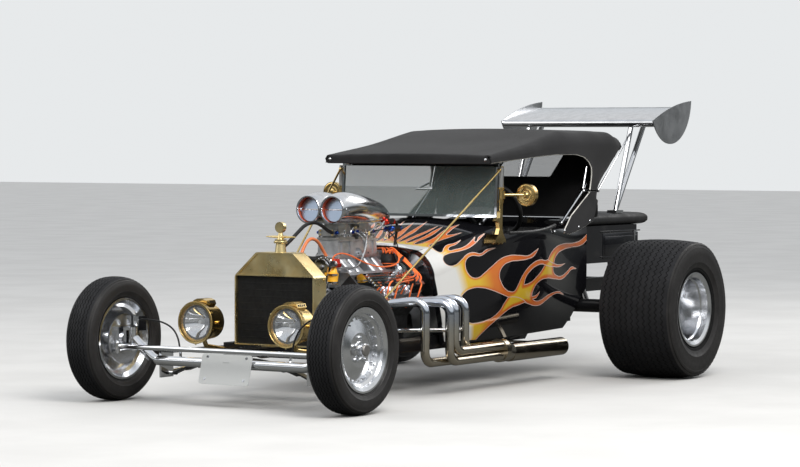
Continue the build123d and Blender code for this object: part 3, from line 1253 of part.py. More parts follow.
def top_section(row, inset):
    """One cross-section of the cloth top, moved in by the cloth's depth for its inside."""
    setback, half, side_z, shoulder, shoulder_z, crown = row
    low = (half - inset, TOP_LOW_Z - inset)
    edge = (half - inset, side_z - 0.5 * inset)
    corner = (shoulder - 0.6 * inset, shoulder_z - inset)
    chord = hypot(edge[0] - corner[0], corner[1] - edge[1])
    out = ((corner[1] - edge[1]) / chord, (edge[0] - corner[0]) / chord)
    over = ((edge[0] + corner[0]) / 2 + out[0] * 0.2 * chord,
            (edge[1] + corner[1]) / 2 + out[1] * 0.2 * chord)
    flip = [(-p[0], p[1]) for p in (low, edge, over, corner)]
    outline = [
        Line(flip[0], low),
        Line(low, edge),
        ThreePointArc(edge, over, corner),
        ThreePointArc(corner, (0, crown - inset), flip[3]),
        ThreePointArc(flip[3], flip[2], flip[1]),
        Line(flip[1], flip[0]),
    ]
    return Pos(aft(setback), 0, 0) * make_face(Plane.YZ * Curve(children=outline))


def make_soft_top():
    outer = loft([top_section(row, 0.0) for row in TOP_SECTIONS], ruled=True)
    inner = loft([top_section(row, TOP_CLOTH) for row in TOP_SECTIONS], ruled=True)
    cloth = [(TOP_FRONT, 1500), (TOP_REAR, 1500)] + TOP_EDGE
    shell = (outer - inner) & side_prism(cloth)
    front = outer & side_prism([(TOP_FRONT, 1206), (TOP_FRONT, 1290), (TOP_FRONT + TOP_CLOTH, 1292),
                                (TOP_FRONT + TOP_CLOTH, 1207)])
    back = outer & side_prism(CURTAIN)
    window = block(aft(3150), aft(2840), -190, 190, 1120, 1250)
    return fused(shell, front, back - window)


keep("soft_top", make_soft_top())

# Top irons: a header on the windscreen, side rails behind the cloth's edge, a bow that folds
# up from a pivot on each side, one ahead of it and one behind, and a prop down to the body
IRON_Y = 503.0
IRON_R = 8.0
PIVOT = (2722.0, 1046.0)
HEADER_HALF = 512.0
BOW_HALF = 440.0
BOW_Z = 1352.0
RAIL_Z = 1286.0
# Setback of each bow's crown, and the setback and height of its foot
BOWS = [(2470.0, 2470.0, RAIL_Z), (2813.0, *PIVOT), (3030.0, *PIVOT)]
PROP_FOOT = (2490.0, 868.0)


def make_top_bows():
    pieces = []
    for crown, foot, foot_z in BOWS:
        half = [(aft(foot), IRON_Y, foot_z), (aft(crown) + 4, IRON_Y, BOW_Z - 46),
                (aft(crown), BOW_HALF, BOW_Z)]
        other = [(x, -y, z) for x, y, z in reversed(half)]
        pieces.append(pipe(half + other, IRON_R, 24))
    header = block(aft(SCREEN_HEAD + 14), aft(SCREEN_HEAD - 14), -HEADER_HALF, HEADER_HALF,
                   SCREEN_HEAD_Z + FIT, SCREEN_HEAD_Z + 24)
    pieces.append(header)
    for side in (1, -1):
        y = side * IRON_Y
        pieces.append(bar((aft(SCREEN_HEAD), y, SCREEN_HEAD_Z + 12), (aft(BOWS[0][0]), y, RAIL_Z), IRON_R))
        pieces.append(bar((aft(BOWS[0][0]), y, RAIL_Z), (aft(BOWS[1][0] - 8), y, RAIL_Z), IRON_R))
        pieces.append(Pos(aft(BOWS[0][0]), y, RAIL_Z) * Sphere(IRON_R + 2))
        pieces.append(bar((aft(PIVOT[0]), y - 12, PIVOT[1]), (aft(PIVOT[0]), y + 12, PIVOT[1]), 16))
        pieces.append(bar((aft(PIVOT[0]), y, PIVOT[1]), (aft(PROP_FOOT[0]), side * 495, PROP_FOOT[1]),
                          IRON_R))
        pieces.append(Pos(aft(PROP_FOOT[0]), side * 495, PROP_FOOT[1]) * Sphere(IRON_R + 3))
    return fused(*pieces) - body_shell


keep("top_bows", make_top_bows())

# Pickup bed, its cover, and the wing above it
BED_FRONT = WHEELBASE + 86.0
BED_REAR = WHEELBASE + 766.0
BED_HALF = 405.0
BED_BOTTOM_Z = 620.0
BED_TOP_Z = 836.0
BED_WALL = 18.0


def make_bed():
    outer = block(aft(BED_REAR), aft(BED_FRONT), -BED_HALF, BED_HALF, BED_BOTTOM_Z, BED_TOP_Z)
    outer = fillet(outer.edges().filter_by(Axis.Z), 20)
    room = block(aft(BED_REAR - BED_WALL), aft(BED_FRONT + BED_WALL), -BED_HALF + BED_WALL,
                 BED_HALF - BED_WALL, BED_BOTTOM_Z + BED_WALL, BED_TOP_Z + 5)
    feet = []
    for setback in (BED_FRONT + 80, BED_REAR - 90):
        for side in (1, -1):
            feet.append(block(aft(setback) - 30, aft(setback) + 30, side * RAIL_Y - 20, side * RAIL_Y + 20,
                              RAIL_TOP_Z + KICK_UP_RISE, BED_BOTTOM_Z + 2))
    return fused(outer - room, *feet)


keep("pickup_bed", make_bed())

COVER_FRONT = BED_FRONT - 16.0
COVER_REAR = WHEELBASE + 896.0
COVER_TOP_Z = 905.0
COVER_HALF = 425.0


def make_cover():
    """Padded vinyl cover with thick rolled edges."""
    slab = block(aft(COVER_REAR), aft(COVER_FRONT), -COVER_HALF, COVER_HALF, BED_TOP_Z + FIT, COVER_TOP_Z)
    long_edges = slab.edges().filter_by(Axis.X) + slab.edges().filter_by(Axis.Y)
    return fillet(long_edges, 30)


keep("tonneau_cover", make_cover())

WING_HALF = 515.0
WING_PLATE_THICK = 6.0
STRUT_Y = 350.0
STRUT_R = 15.0
BRACE_Y = 600.0
BRACE_R = 6.0


def wing_outline():
    """Section of the wing, nose forward and low, tail high."""
    nose_low, nose_high = (aft(3596), 1414.0), (aft(3592), 1460.0)
    tail_low, tail_high = (aft(4010), 1532.0), (aft(4010), 1538.0)
    return make_face(Plane.XZ * Curve(children=[
        ThreePointArc(nose_low, (aft(3574), 1436.0), nose_high),
        ThreePointArc(nose_high, (aft(3780), 1508.0), tail_high),
        Line(tail_high, tail_low),
        ThreePointArc(tail_low, (aft(3800), 1452.0), nose_low)]))


def make_wing():
    return extrude(wing_outline(), WING_HALF, both=True)


def make_end_plates():
    """Leaf-shaped end plates, high at the tail."""
    pieces = []
    tip = (aft(WHEELBASE + TAIL_REACH), 1575.0)
    nose = (aft(3560), 1452.0)
    for side in (1, -1):
        face = make_face(Plane.XZ * Curve(children=[
            ThreePointArc(nose, (aft(3790), 1530.0), tip),
            ThreePointArc(tip, (aft(3960), 1372.0), (aft(3835), 1317.0)),
            ThreePointArc((aft(3835), 1317.0), (aft(3660), 1348.0), nose)]))
        y = side * (WING_HALF + FIT)
        plate = extrude(face, WING_PLATE_THICK, dir=(0, side, 0))
        pieces.append(Pos(0, y, 0) * plate)
    return solids(*pieces)


def make_wing_struts():
    """A V of tubes each side from a foot on the bed to the wing, and a brace forward."""
    pieces = []
    for side in (1, -1):
        y = side * STRUT_Y
        foot = (aft(3410), y, COVER_TOP_Z + 12)
        front = bar(foot, (aft(3610), y, 1424.0), STRUT_R)
        rear = bar(foot, (aft(3790), y, 1452.0), STRUT_R)
        pad = block(foot[0] - 45, foot[0] + 45, y - 30, y + 30, COVER_TOP_Z + FIT, COVER_TOP_Z + 16)
        # brace from the front strut down and forward to a stud on the top's pivot
        low = (aft(PIVOT[0]), side * BRACE_Y, PIVOT[1])
        brace = bar(low, (aft(3592), y + side * 4, 1378.0), BRACE_R)
        stud = bar((low[0], side * (IRON_Y + 12 + FIT), PIVOT[1]), (low[0], side * (BRACE_Y + 8), PIVOT[1]),
                   7)
        struts = fused(front, rear, pad, brace, stud) - extrude(wing_outline(), WING_HALF, both=True)
        pieces.append(sorted(struts.solids(), key=lambda s: s.volume)[-1])
    return solids(*pieces)


keep("wing", make_wing())
keep("wing_end_plates", make_end_plates())
keep("wing_struts", make_wing_struts())

# Cockpit: bench seat, steering column and wheel
SEAT_FRONT = 2360.0
SEAT_BACK = 2680.0
SEAT_REAR = 2800.0
SEAT_HALF = 400.0
SEAT_TOP_Z = 690.0
SEAT_BACK_Z = 846.0


def make_seat():
    """Plain cushion and back of the bench seat, on the floor's rear deck."""
    low = DECK_Z + FLOOR_THICK + FIT
    cushion = block(aft(SEAT_BACK - 4), aft(SEAT_FRONT), -SEAT_HALF, SEAT_HALF, low, SEAT_TOP_Z)
    cushion = fillet(cushion.edges().filter_by(Axis.Y).sort_by(Axis.Z)[-2:], 40)
    back = side_prism([(SEAT_BACK, low), (SEAT_REAR, low), (SEAT_REAR + 10, SEAT_BACK_Z),
                       (SEAT_BACK + 60, SEAT_BACK_Z)])
    back = back & block(aft(2900), aft(2500), -SEAT_HALF, SEAT_HALF, 500, 1000)
    return cushion, back


cushion, seat_back = make_seat()
keep("seat_cushion", cushion)
keep("seat_back", seat_back)

COLUMN_Y = 240.0
COLUMN_R = 20.0
COLUMN_HEAD = (2130.0, 940.0)
COLUMN_FOOT = (1500.0, 560.0)
STEER_WHEEL_R = 175.0


def column_point(share):
    """A point along the steering column's axis, from 0 at its foot to 1 at its head."""
    d = COLUMN_FOOT[0] + share * (COLUMN_HEAD[0] - COLUMN_FOOT[0])
    z = COLUMN_FOOT[1] + share * (COLUMN_HEAD[1] - COLUMN_FOOT[1])
    return (aft(d), COLUMN_Y, z)


def make_column():
    """Column tube, the steering box at its foot, and the shaft out through the cowl's side."""
    tube = bar(column_point(0.0), column_point(1.0), COLUMN_R)
    x, z = aft(PITMAN_SETBACK), PITMAN_SHAFT_Z
    box = block(x - 60, x + 50, COLUMN_Y - 40, 318, z - 55, z + 110)
    cross = bar((x, 300, z), (x, PITMAN_Y + PITMAN_THICK + 6, z), PITMAN_SHAFT_R)
    return fused(tube, box, cross)


def make_steering_wheel():
    """Rim, three spokes and a hub on the column's axis."""
    a, b = Vector(*column_point(1.0)), Vector(*column_point(0.0))
    axis = (a - b).normalized()
    centre = a + axis * 30
    plane = Plane(origin=centre, z_dir=axis, x_dir=(0, 1, 0))
    rim = Torus(STEER_WHEEL_R, 13)
    hub = Pos(0, 0, -15 + FIT) * Cylinder(38, 30)
    spokes = [Rot(0, 0, a) * Pos(STEER_WHEEL_R / 2, 0, -2) * Box(STEER_WHEEL_R, 24, 5)
              for a in (90, 210, 330)]
    return plane * fused(rim, hub, *spokes)


keep("steering_column", make_column())
keep("steering_wheel", make_steering_wheel())
print("length", round(LENGTH, 1), "front axle at", round(FRONT_AXLE_X, 2), "rear axle at",
      round(REAR_AXLE_X, 2))
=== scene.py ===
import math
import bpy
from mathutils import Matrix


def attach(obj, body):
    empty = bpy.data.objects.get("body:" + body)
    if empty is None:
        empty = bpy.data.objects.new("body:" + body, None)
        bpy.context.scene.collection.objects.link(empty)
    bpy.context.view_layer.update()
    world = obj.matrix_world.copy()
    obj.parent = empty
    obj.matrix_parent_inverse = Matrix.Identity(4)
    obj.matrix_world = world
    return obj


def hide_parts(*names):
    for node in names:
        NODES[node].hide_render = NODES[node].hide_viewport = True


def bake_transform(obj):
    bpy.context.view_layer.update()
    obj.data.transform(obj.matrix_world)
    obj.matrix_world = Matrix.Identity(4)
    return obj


bl_info = {
    "name": "Street Rod Roadster",
    "version": (1, 0, 0),
    "blender": (4, 5, 0),
    "location": "View3D > Sidebar > Roadster",
    "description": "Paint, metals, tyres, engine trim, cloth top and stage for the street rod roadster",
    "category": "Object",
}

import bmesh
import bpy
from bpy.props import FloatProperty, FloatVectorProperty, IntProperty, PointerProperty
from mathutils import Matrix, Quaternion, Vector
from mathutils.bvhtree import BVHTree
from mathutils.interpolate import poly_3d_calc
from mathutils.kdtree import KDTree

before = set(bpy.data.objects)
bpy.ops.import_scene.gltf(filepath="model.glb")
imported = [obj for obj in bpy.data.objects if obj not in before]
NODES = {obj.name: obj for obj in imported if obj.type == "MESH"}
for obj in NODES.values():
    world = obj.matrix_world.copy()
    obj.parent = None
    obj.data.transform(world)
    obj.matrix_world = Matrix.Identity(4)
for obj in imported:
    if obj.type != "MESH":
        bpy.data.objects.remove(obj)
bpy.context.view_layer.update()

# Places that come from the solids. Metres. X forward, Y left, Z up, ground at zero.
FRONT_AXLE_X = 1.87575
WHEELBASE = 2.829
REAR_AXLE_X = FRONT_AXLE_X - WHEELBASE
FRONT_HUB = Vector((FRONT_AXLE_X, 0.729, 0.316))
REAR_HUB = Vector((REAR_AXLE_X, 0.964, 0.388))
SIDES = ((1, "left"), (-1, "right"))

ACROSS = Vector((0, 1, 0))
AHEAD = Vector((1, 0, 0))
UP = Vector((0, 0, 1))
# Share of a 45 degree line along each of its two axes
LEG = math.sqrt(0.5)

# Where the photograph was taken from: place, then yaw, pitch and roll in degrees, then millimetres
VIEW_PLACE = (13.15239, 8.09979, 1.30863)
VIEW_TURN = (212.22, -1.83, 0.13)
VIEW_LENS = 125.82


def aft(setback):
    """X of a station given in millimetres behind the front axle."""
    return FRONT_AXLE_X - setback / 1000


def setback_of(place):
    """Millimetres that a place lies behind the front axle."""
    return (FRONT_AXLE_X - place.x) * 1000


# Materials


def shade_of(colour, share, lift=0.0):
    """A colour made darker or lighter."""
    return tuple(c * share + lift for c in colour)


def set_stops(node, stops):
    """Give a colour ramp its (position, colour) stops."""
    points = node.color_ramp.elements
    while len(points) < len(stops):
        points.new(0.5)
    for point, (position, colour) in zip(points, stops):
        point.position = position
        point.color = (*colour[:3], 1.0)


class Finish:
    """One material: its shader node and short calls that add nodes to it."""

    def __init__(self, name, colour, metallic=0.0, roughness=0.5, **sockets):
        self.material = bpy.data.materials.new(name)
        self.material.use_nodes = True
        self.tree = self.material.node_tree
        self.shader = self.tree.nodes["Principled BSDF"]
        self.set(self.shader, "Base Color", (*colour[:3], 1.0))
        self.set(self.shader, "Metallic", metallic)
        self.set(self.shader, "Roughness", roughness)
        for socket, value in sockets.items():
            self.set(self.shader, socket.replace("_", " "), value)
        self.coords = None

    def set(self, node, socket, value):
        node.inputs[socket].default_value = value

    def add(self, kind, **values):
        node = self.tree.nodes.new(kind)
        for key, value in values.items():
            setattr(node, key, value)
        return node

    def link(self, source, target):
        self.tree.links.new(source, target)
        return target

    def place(self):
        """Object coordinates, made once for each material."""
        if self.coords is None:
            self.coords = self.add("ShaderNodeTexCoord").outputs["Object"]
        return self.coords

    def stretched(self, scale):
        """Object coordinates scaled along each axis."""
        mapping = self.add("ShaderNodeMapping")
        self.set(mapping, "Scale", scale)
        self.link(self.place(), mapping.inputs["Vector"])
        return mapping.outputs["Vector"]

    def noise(self, scale, detail=3.0, vector=None):
        node = self.add("ShaderNodeTexNoise")
        self.set(node, "Scale", scale)
        self.set(node, "Detail", detail)
        self.set(node, "Roughness", 0.55)
        self.link(vector or self.place(), node.inputs["Vector"])
        return node.outputs["Fac"]

    def wave(self, scale, axis):
        node = self.add("ShaderNodeTexWave", wave_type="BANDS", bands_direction=axis)
        self.set(node, "Scale", scale)
        self.link(self.place(), node.inputs["Vector"])
        return node.outputs["Fac"]

    def cells(self, scale):
        node = self.add("ShaderNodeTexVoronoi")
        self.set(node, "Scale", scale)
        self.link(self.place(), node.inputs["Vector"])
        return node.outputs["Distance"]

    def maths(self, operation, a, b=0.0):
        node = self.add("ShaderNodeMath", operation=operation)
        for value, socket in ((a, node.inputs[0]), (b, node.inputs[1])):
            if isinstance(value, (int, float)):
                socket.default_value = value
            else:
                self.link(value, socket)
        return node.outputs[0]

    def span(self, value, low, high, new_low=0.0, new_high=1.0):
        """A value mapped from one range to another, smoothly and clamped."""
        node = self.add("ShaderNodeMapRange", interpolation_type="SMOOTHSTEP")
        self.link(value, node.inputs["Value"])
        for socket, number in zip(("From Min", "From Max", "To Min", "To Max"),
                                  (low, high, new_low, new_high)):
            node.inputs[socket].default_value = number
        return node.outputs["Result"]

    def ramp(self, value, stops):
        """A colour ramp from (position, colour) stops."""
        node = self.add("ShaderNodeValToRGB")
        set_stops(node, stops)
        self.link(value, node.inputs["Fac"])
        return node.outputs["Color"]

    def mix(self, share, a, b):
        """A share of the second colour over the first; either may be a colour or a socket."""
        node = self.add("ShaderNodeMix", data_type="RGBA")
        sockets = [s for s in node.inputs if s.type == "RGBA"]
        for value, socket in ((a, sockets[0]), (b, sockets[1])):
            if isinstance(value, bpy.types.NodeSocket):
                self.link(value, socket)
            else:
                socket.default_value = (*value[:3], 1.0)
        self.link(share, node.inputs["Factor"])
        return [s for s in node.outputs if s.type == "RGBA"][0]

    def axis(self, name):
        """One of the Object coordinates: X, Y or Z."""
        node = self.add("ShaderNodeSeparateXYZ")
        self.link(self.place(), node.inputs[0])
        return node.outputs[name]

    def colour(self, socket):
        self.link(socket, self.shader.inputs["Base Color"])
        return self

    def gloss(self, value, low, high):
        """Roughness that wanders between two numbers."""
        self.link(self.span(value, 0.3, 0.7, low, high), self.shader.inputs["Roughness"])
        return self

    def bump(self, height, depth, strength=1.0, after=None):
        """Relief of a given depth in metres; several in a row add up."""
        node = self.add("ShaderNodeBump")
        node.inputs["Strength"].default_value = strength
        node.inputs["Distance"].default_value = depth
        self.link(height, node.inputs["Height"])
        if after is not None:
            self.link(after, node.inputs["Normal"])
        self.link(node.outputs["Normal"], self.shader.inputs["Normal"])
        return node.outputs["Normal"]


def metal(name, colour, roughness, grain=0.03, wander=0.06, dirt=0.0, brush=None):
    """A bare metal: its gloss wanders a little, with a fine ripple and dulled patches."""
    f = Finish(name, colour, 1.0, roughness)
    patches = f.noise(9.0, 4.0)
    f.gloss(patches, roughness, roughness + wander)
    f.colour(f.mix(f.span(f.noise(23.0, 5.0), 0.35, 0.75), colour, shade_of(colour, 1.0 - dirt)))
    ripple = f.noise(60.0, 2.0) if brush is None else f.noise(220.0, 2.0, vector=f.stretched(brush))
    f.bump(ripple, grain / 1000, 0.6)
    return f.material


def gloss_paint(name, colour, roughness=0.12, coat=1.0):
    """Sprayed enamel with clear coat: slight orange peel and a trace of dust."""
    f = Finish(name, colour, 0.0, roughness, Coat_Weight=coat, Coat_Roughness=0.03, Coat_IOR=1.38,
               Specular_IOR_Level=0.12)
    dust = f.span(f.noise(14.0, 6.0), 0.55, 0.85, 0.0, 0.05)
    f.colour(f.mix(dust, colour, (0.35, 0.33, 0.3)))
    f.bump(f.noise(260.0, 2.0), 0.00008, 0.35)
    return f.material


def rubber(name, colour, roughness):
    f = Finish(name, colour, 0.0, roughness, Specular_IOR_Level=0.35)
    f.colour(f.mix(f.span(f.noise(7.0, 6.0), 0.40, 0.75), colour, shade_of(colour, 1.5, 0.001)))
    f.gloss(f.noise(30.0, 4.0), roughness - 0.08, roughness + 0.1)
    f.bump(f.noise(500.0, 3.0), 0.0002, 0.4)
    return f.material


def cloth(name, colour, pitch=1300.0):
    """Woven canvas: two crossed sets of threads, faded a little in broad patches."""
    f = Finish(name, colour, 0.0, 0.95, Sheen_Weight=0.08, Sheen_Roughness=0.5)
    warp = f.wave(pitch, "X")
    weft = f.maths("MAXIMUM", f.wave(pitch, "Y"), f.wave(pitch, "Z"))
    weave = f.maths("MULTIPLY", warp, weft)
    faded = f.mix(f.span(f.noise(3.0, 5.0), 0.35, 0.7), colour, shade_of(colour, 1.7, 0.004))
    f.colour(f.mix(f.maths("MULTIPLY", weave, 0.15), faded, shade_of(colour, 0.45)))
    first = f.bump(weave, 0.0003, 0.25)
    f.bump(f.noise(7.0, 4.0), 0.004, 0.35, after=first)
    return f.material


def vinyl(name, colour, roughness=0.42):
    """Grained vinyl: fine pebble bump with soft creases."""
    f = Finish(name, colour, 0.0, roughness, Specular_IOR_Level=0.5)
    pebble = f.cells(380.0)
    f.colour(f.mix(f.span(f.noise(6.0, 4.0), 0.4, 0.7), colour, shade_of(colour, 1.8, 0.004)))
    f.gloss(f.noise(11.0, 4.0), roughness - 0.08, roughness + 0.1)
    first = f.bump(pebble, 0.0004, 0.45)
    f.bump(f.noise(9.0, 3.0), 0.003, 0.3, after=first)
    return f.material


def flame_paint(name, settings):
    """Flames: white at the cowl's edge, then yellow and orange, and a warmer colour along every edge."""
    f = Finish(name, (1, 1, 1), 0.0, 0.14, Coat_Weight=1.0, Coat_Roughness=0.03)
    split = f.add("ShaderNodeSeparateXYZ")
    f.link(f.add("ShaderNodeUVMap", uv_map="flame").outputs["UV"], split.inputs[0])
    heat = split.outputs["X"]
    edge = f.maths("MULTIPLY", split.outputs["Y"], 1 / EDGE_SCALE)
    body = f.ramp(heat, [(0.0, settings.white), (0.08, settings.white), (0.30, settings.yellow),
                         (0.62, settings.yellow), (1.0, settings.orange)])
    near = f.ramp(heat, [(0.0, settings.white), (0.10, settings.yellow), (0.45, settings.orange),
                         (1.0, settings.deep_orange)])
    f.colour(f.mix(f.span(edge, 0.002, 0.020), near, body))
    f.bump(f.noise(260.0, 2.0), 0.00008, 0.35)
    return f.material


def tinted_pipe(name):
    """Nickel-bright exhaust pipe, straw and bronze where the heat has tinted it."""
    f = Finish(name, (0.6, 0.56, 0.48), 1.0, 0.13)
    tint = f.maths("ADD", f.span(f.axis("Z"), 0.16, 0.52, 0.1, 0.75),
                   f.maths("MULTIPLY", f.noise(5.0, 4.0), 0.35))
    f.colour(f.ramp(tint, [(0.0, (0.50, 0.43, 0.33)), (0.35, (0.56, 0.50, 0.40)), (0.62, (0.66, 0.63, 0.56)),
                           (0.8, (0.62, 0.66, 0.74)), (1.0, (0.72, 0.74, 0.78))]))
    f.gloss(f.noise(12.0, 4.0), 0.10, 0.2)
    f.bump(f.noise(45.0, 2.0), 0.00006, 0.5)
    return f.material


def brass_metal(name, colour, roughness=0.16):
    """Polished brass with a warmer tarnish in broad patches and faint wiping marks."""
    f = Finish(name, colour, 1.0, roughness)
    patch = f.noise(11.0, 5.0)
    f.colour(f.ramp(patch, [(0.3, colour), (0.55, tuple(c * k for c, k in zip(colour, (0.93, 0.86, 0.72)))),
                            (0.75, tuple(c * k for c, k in zip(colour, (0.80, 0.68, 0.50))))]))
    f.gloss(f.noise(7.0, 5.0), roughness - 0.04, roughness + 0.14)
    f.bump(f.noise(130.0, 2.0, vector=f.stretched((1.0, 1.0, 7.0))), 0.00005, 0.5)
    return f.material


def clear_glass(name, colour, alpha, roughness=0.02):
    """Thin glass that the export can carry: a see-through coat with a clear gloss."""
    f = Finish(name, colour, 0.0, roughness, Alpha=alpha, Specular_IOR_Level=0.7, Coat_Weight=1.0,
               Coat_Roughness=0.02)
    f.colour(f.mix(f.span(f.noise(4.0, 3.0), 0.3, 0.7), colour, shade_of(colour, 0.85)))
    return f.material


def cast_metal(name, colour, roughness=0.55, metallic=0.0):
    """Painted or bare casting: sandy skin with darker hollows."""
    f = Finish(name, colour, metallic, roughness)
    f.colour(f.mix(f.span(f.noise(20.0, 6.0), 0.35, 0.7), colour, shade_of(colour, 0.55)))
    f.gloss(f.noise(35.0, 4.0), roughness - 0.1, roughness + 0.15)
    f.bump(f.noise(420.0, 3.0), 0.0004, 0.5)
    return f.material


def braid(name):
    """Woven steel cover of a fuel line."""
    f = Finish(name, (0.62, 0.63, 0.65), 1.0, 0.35)
    weave = f.maths("MULTIPLY", f.wave(900.0, "DIAGONAL"), f.wave(900.0, "Z"))
    f.colour(f.mix(weave, (0.30, 0.31, 0.32), (0.80, 0.81, 0.83)))
    f.bump(weave, 0.0006, 0.7)
    return f.material


def spring_finish(name):
    """Black leaf spring between bright rods: the spring is all that lies across the middle."""
    f = Finish(name, (0.7, 0.7, 0.72), 1.0, 0.1)
    outer = f.span(f.maths("ABSOLUTE", f.axis("Y")), 0.430, 0.436)
    f.colour(f.mix(outer, (0.02, 0.02, 0.02), (0.74, 0.75, 0.77)))
    f.link(outer, f.shader.inputs["Metallic"])
    f.link(f.maths("SUBTRACT", 0.35, f.maths("MULTIPLY", outer, 0.25)), f.shader.inputs["Roughness"])
    f.bump(f.noise(90.0, 2.0), 0.0001, 0.5)
    return f.material


PALETTE = {}


def finish(name):
    """A finished material by name. They are made once, by the first operator."""
    return PALETTE[name]


def mix_palette(settings):
    """Make every material of the car. Each row holds a maker and what it is called with."""
    rows = (
        (gloss_paint, "black_paint", settings.black),
        (gloss_paint, "black_chassis", (0.012, 0.012, 0.013), 0.22, 0.6),
        (flame_paint, "flame_paint", settings),
        (gloss_paint, "flame_line", settings.outline),
        (metal, "chrome", (0.80, 0.81, 0.83), 0.045, 0.02, 0.05),
        (metal, "polished_alloy", (0.74, 0.75, 0.77), 0.12, 0.05, 0.12, 0.15),
        (metal, "intake_alloy", (0.72, 0.73, 0.75), 0.34, 0.15, 0.16, 0.3),
        (metal, "pale_alloy", (0.50, 0.50, 0.49), 0.36, 0.1, 0.1, 0.3),
        (metal, "brushed_alloy", (0.70, 0.71, 0.73), 0.28, 0.06, 0.1, 0.1, (14.0, 1.0, 1.0)),
        (metal, "spun_alloy", (0.80, 0.81, 0.83), 0.15, 0.04, 0.1, 0.12),
        (brass_metal, "brass", (0.80, 0.62, 0.30)),
        (brass_metal, "pale_brass", (0.90, 0.77, 0.45), 0.28),
        (tinted_pipe, "header_pipe"),
        (cast_metal, "engine_paint", (0.025, 0.025, 0.027), 0.45),
        (cast_metal, "cast_alloy", (0.5, 0.5, 0.51), 0.42, 1.0),
        (cast_metal, "core_black", (0.012, 0.012, 0.012), 0.6),
        (spring_finish, "spring_and_rods"),
        (rubber, "tread_rubber", (0.012, 0.012, 0.0135), 0.78),
        # groove_rubber is the tread rubber made darker: painted shade at the bottoms of the grooves; the
        # wheels' valves use it too
        (rubber, "groove_rubber", (0.004, 0.004, 0.004), 0.9),
        (rubber, "wall_rubber", (0.022, 0.0205, 0.020), 0.46),
        (metal, "dull_alloy", (0.42, 0.40, 0.38), 0.42, 0.1, 0.1, 0.2),
        (rubber, "belt_rubber", (0.02, 0.02, 0.02), 0.7),
        (rubber, "black_plastic", (0.012, 0.012, 0.012), 0.4),
        (cloth, "top_cloth", (0.0072, 0.0069, 0.0076)),
        (vinyl, "seat_vinyl", (0.022, 0.022, 0.023)),
        (vinyl, "cover_vinyl", (0.010, 0.0098, 0.0105), 0.6),
        (cloth, "carpet", (0.018, 0.018, 0.018), 700.0),
        (vinyl, "white_piping", (0.62, 0.60, 0.55), 0.5),
        (braid, "braided_steel"),
        (vinyl, "lead_orange", (0.85, 0.16, 0.03), 0.35),
        (vinyl, "hose_orange", (0.86, 0.24, 0.08), 0.4),
        (vinyl, "canister_yellow", (0.90, 0.45, 0.03), 0.35),
        (metal, "fitting_red", (0.75, 0.06, 0.04), 0.2),
        (metal, "fitting_blue", (0.05, 0.14, 0.6), 0.2),
        (gloss_paint, "inlet_red", (0.52, 0.10, 0.05), 0.35, 0.4),
        (metal, "butterfly", (0.42, 0.50, 0.62), 0.3),
        (clear_glass, "screen_glass", (0.20, 0.25, 0.24), 0.42),
        (clear_glass, "lamp_glass", (0.85, 0.88, 0.9), 0.10),
        (clear_glass, "red_lens", (0.55, 0.02, 0.02), 0.9, 0.08),
        (gloss_paint, "plate_white", (0.72, 0.73, 0.72), 0.3, 0.3),
        (clear_glass, "lens_white", (0.85, 0.86, 0.88), 0.75, 0.1),
        (metal, "steel_grey", (0.45, 0.45, 0.44), 0.35),
        (gloss_paint, "gauge_white", (0.8, 0.8, 0.78), 0.3, 0.5),
    )
    for maker, name, *values in rows:
        PALETTE[name] = maker(name, *values)


# Meshes


def centred(points_to, origin):
    """The turn that brings local Z onto a direction, and the shift to an origin."""
    return Matrix.Translation(origin) @ Vector(points_to).to_track_quat("Z", "Y").to_matrix().to_4x4()


def as_object(name, bm, materials):
    """Put a finished bmesh in the scene."""
    mesh = bpy.data.meshes.new(name)
    bm.to_mesh(mesh)
    bm.free()
    for material in materials:
        mesh.materials.append(material)
    piece = bpy.data.objects.new(name, mesh)
    bpy.context.scene.collection.objects.link(piece)
    return piece


def settle(name, bm, materials, body="body", crease=38.0):
    """Turn a finished bmesh into a piece that rides on a body, or on none where no body is given."""
    bmesh.ops.recalc_face_normals(bm, faces=bm.faces)
    piece = as_object(name, bm, [finish(material) for material in materials])
    piece.data.shade_smooth()
    piece.data.set_sharp_from_angle(angle=math.radians(crease))
    if body:
        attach(piece, body)
    return piece


def paint(verts, index):
    """Give every face at some vertices one of the piece's materials."""
    for face in {f for v in verts for f in v.link_faces}:
        face.material_index = index


def cut_across(bm, axis, low, high, step):
    """Cut the faces along evenly spaced planes, so that they can follow a curve."""
    for number in range(int((high - low) / step)):
        bmesh.ops.bisect_plane(bm, geom=bm.verts[:] + bm.edges[:] + bm.faces[:], dist=1e-5,
                               plane_co=axis * (low + number * step), plane_no=axis)


def corners(mesh):
    """The lowest and the highest X, Y and Z of a mesh."""
    return [Vector([pick(v.co[i] for v in mesh.vertices) for i in range(3)]) for pick in (min, max)]


def rod(bm, start, end, radius, end_radius=None, steps=12, material=0):
    """A round bar or cone between two points."""
    a, b = Vector(start), Vector(end)
    far = radius if end_radius is None else end_radius
    made = bmesh.ops.create_cone(bm, cap_ends=True, segments=steps, radius1=radius, radius2=far,
                                 depth=(b - a).length, matrix=centred(b - a, (a + b) / 2))
    paint(made["verts"], material)


def hex_bolt(bm, foot, out, radius, height, material=0):
    """A bolt head with a washer under it."""
    foot, out = Vector(foot), Vector(out).normalized()
    rod(bm, foot, foot + out * height * 0.25, radius * 1.35, steps=12, material=material)
    rod(bm, foot + out * height * 0.2, foot + out * height, radius, radius * 0.92, 6, material)


def dome(bm, foot, out, radius, height, steps=12, material=0):
    """A low round head, such as a snap or rivet."""
    verts = bmesh.ops.create_uvsphere(bm, u_segments=steps, v_segments=steps // 2, radius=radius)["verts"]
    bmesh.ops.scale(bm, vec=(1, 1, height / radius), verts=verts)
    bmesh.ops.transform(bm, matrix=centred(out, foot), verts=verts)
    paint(verts, material)


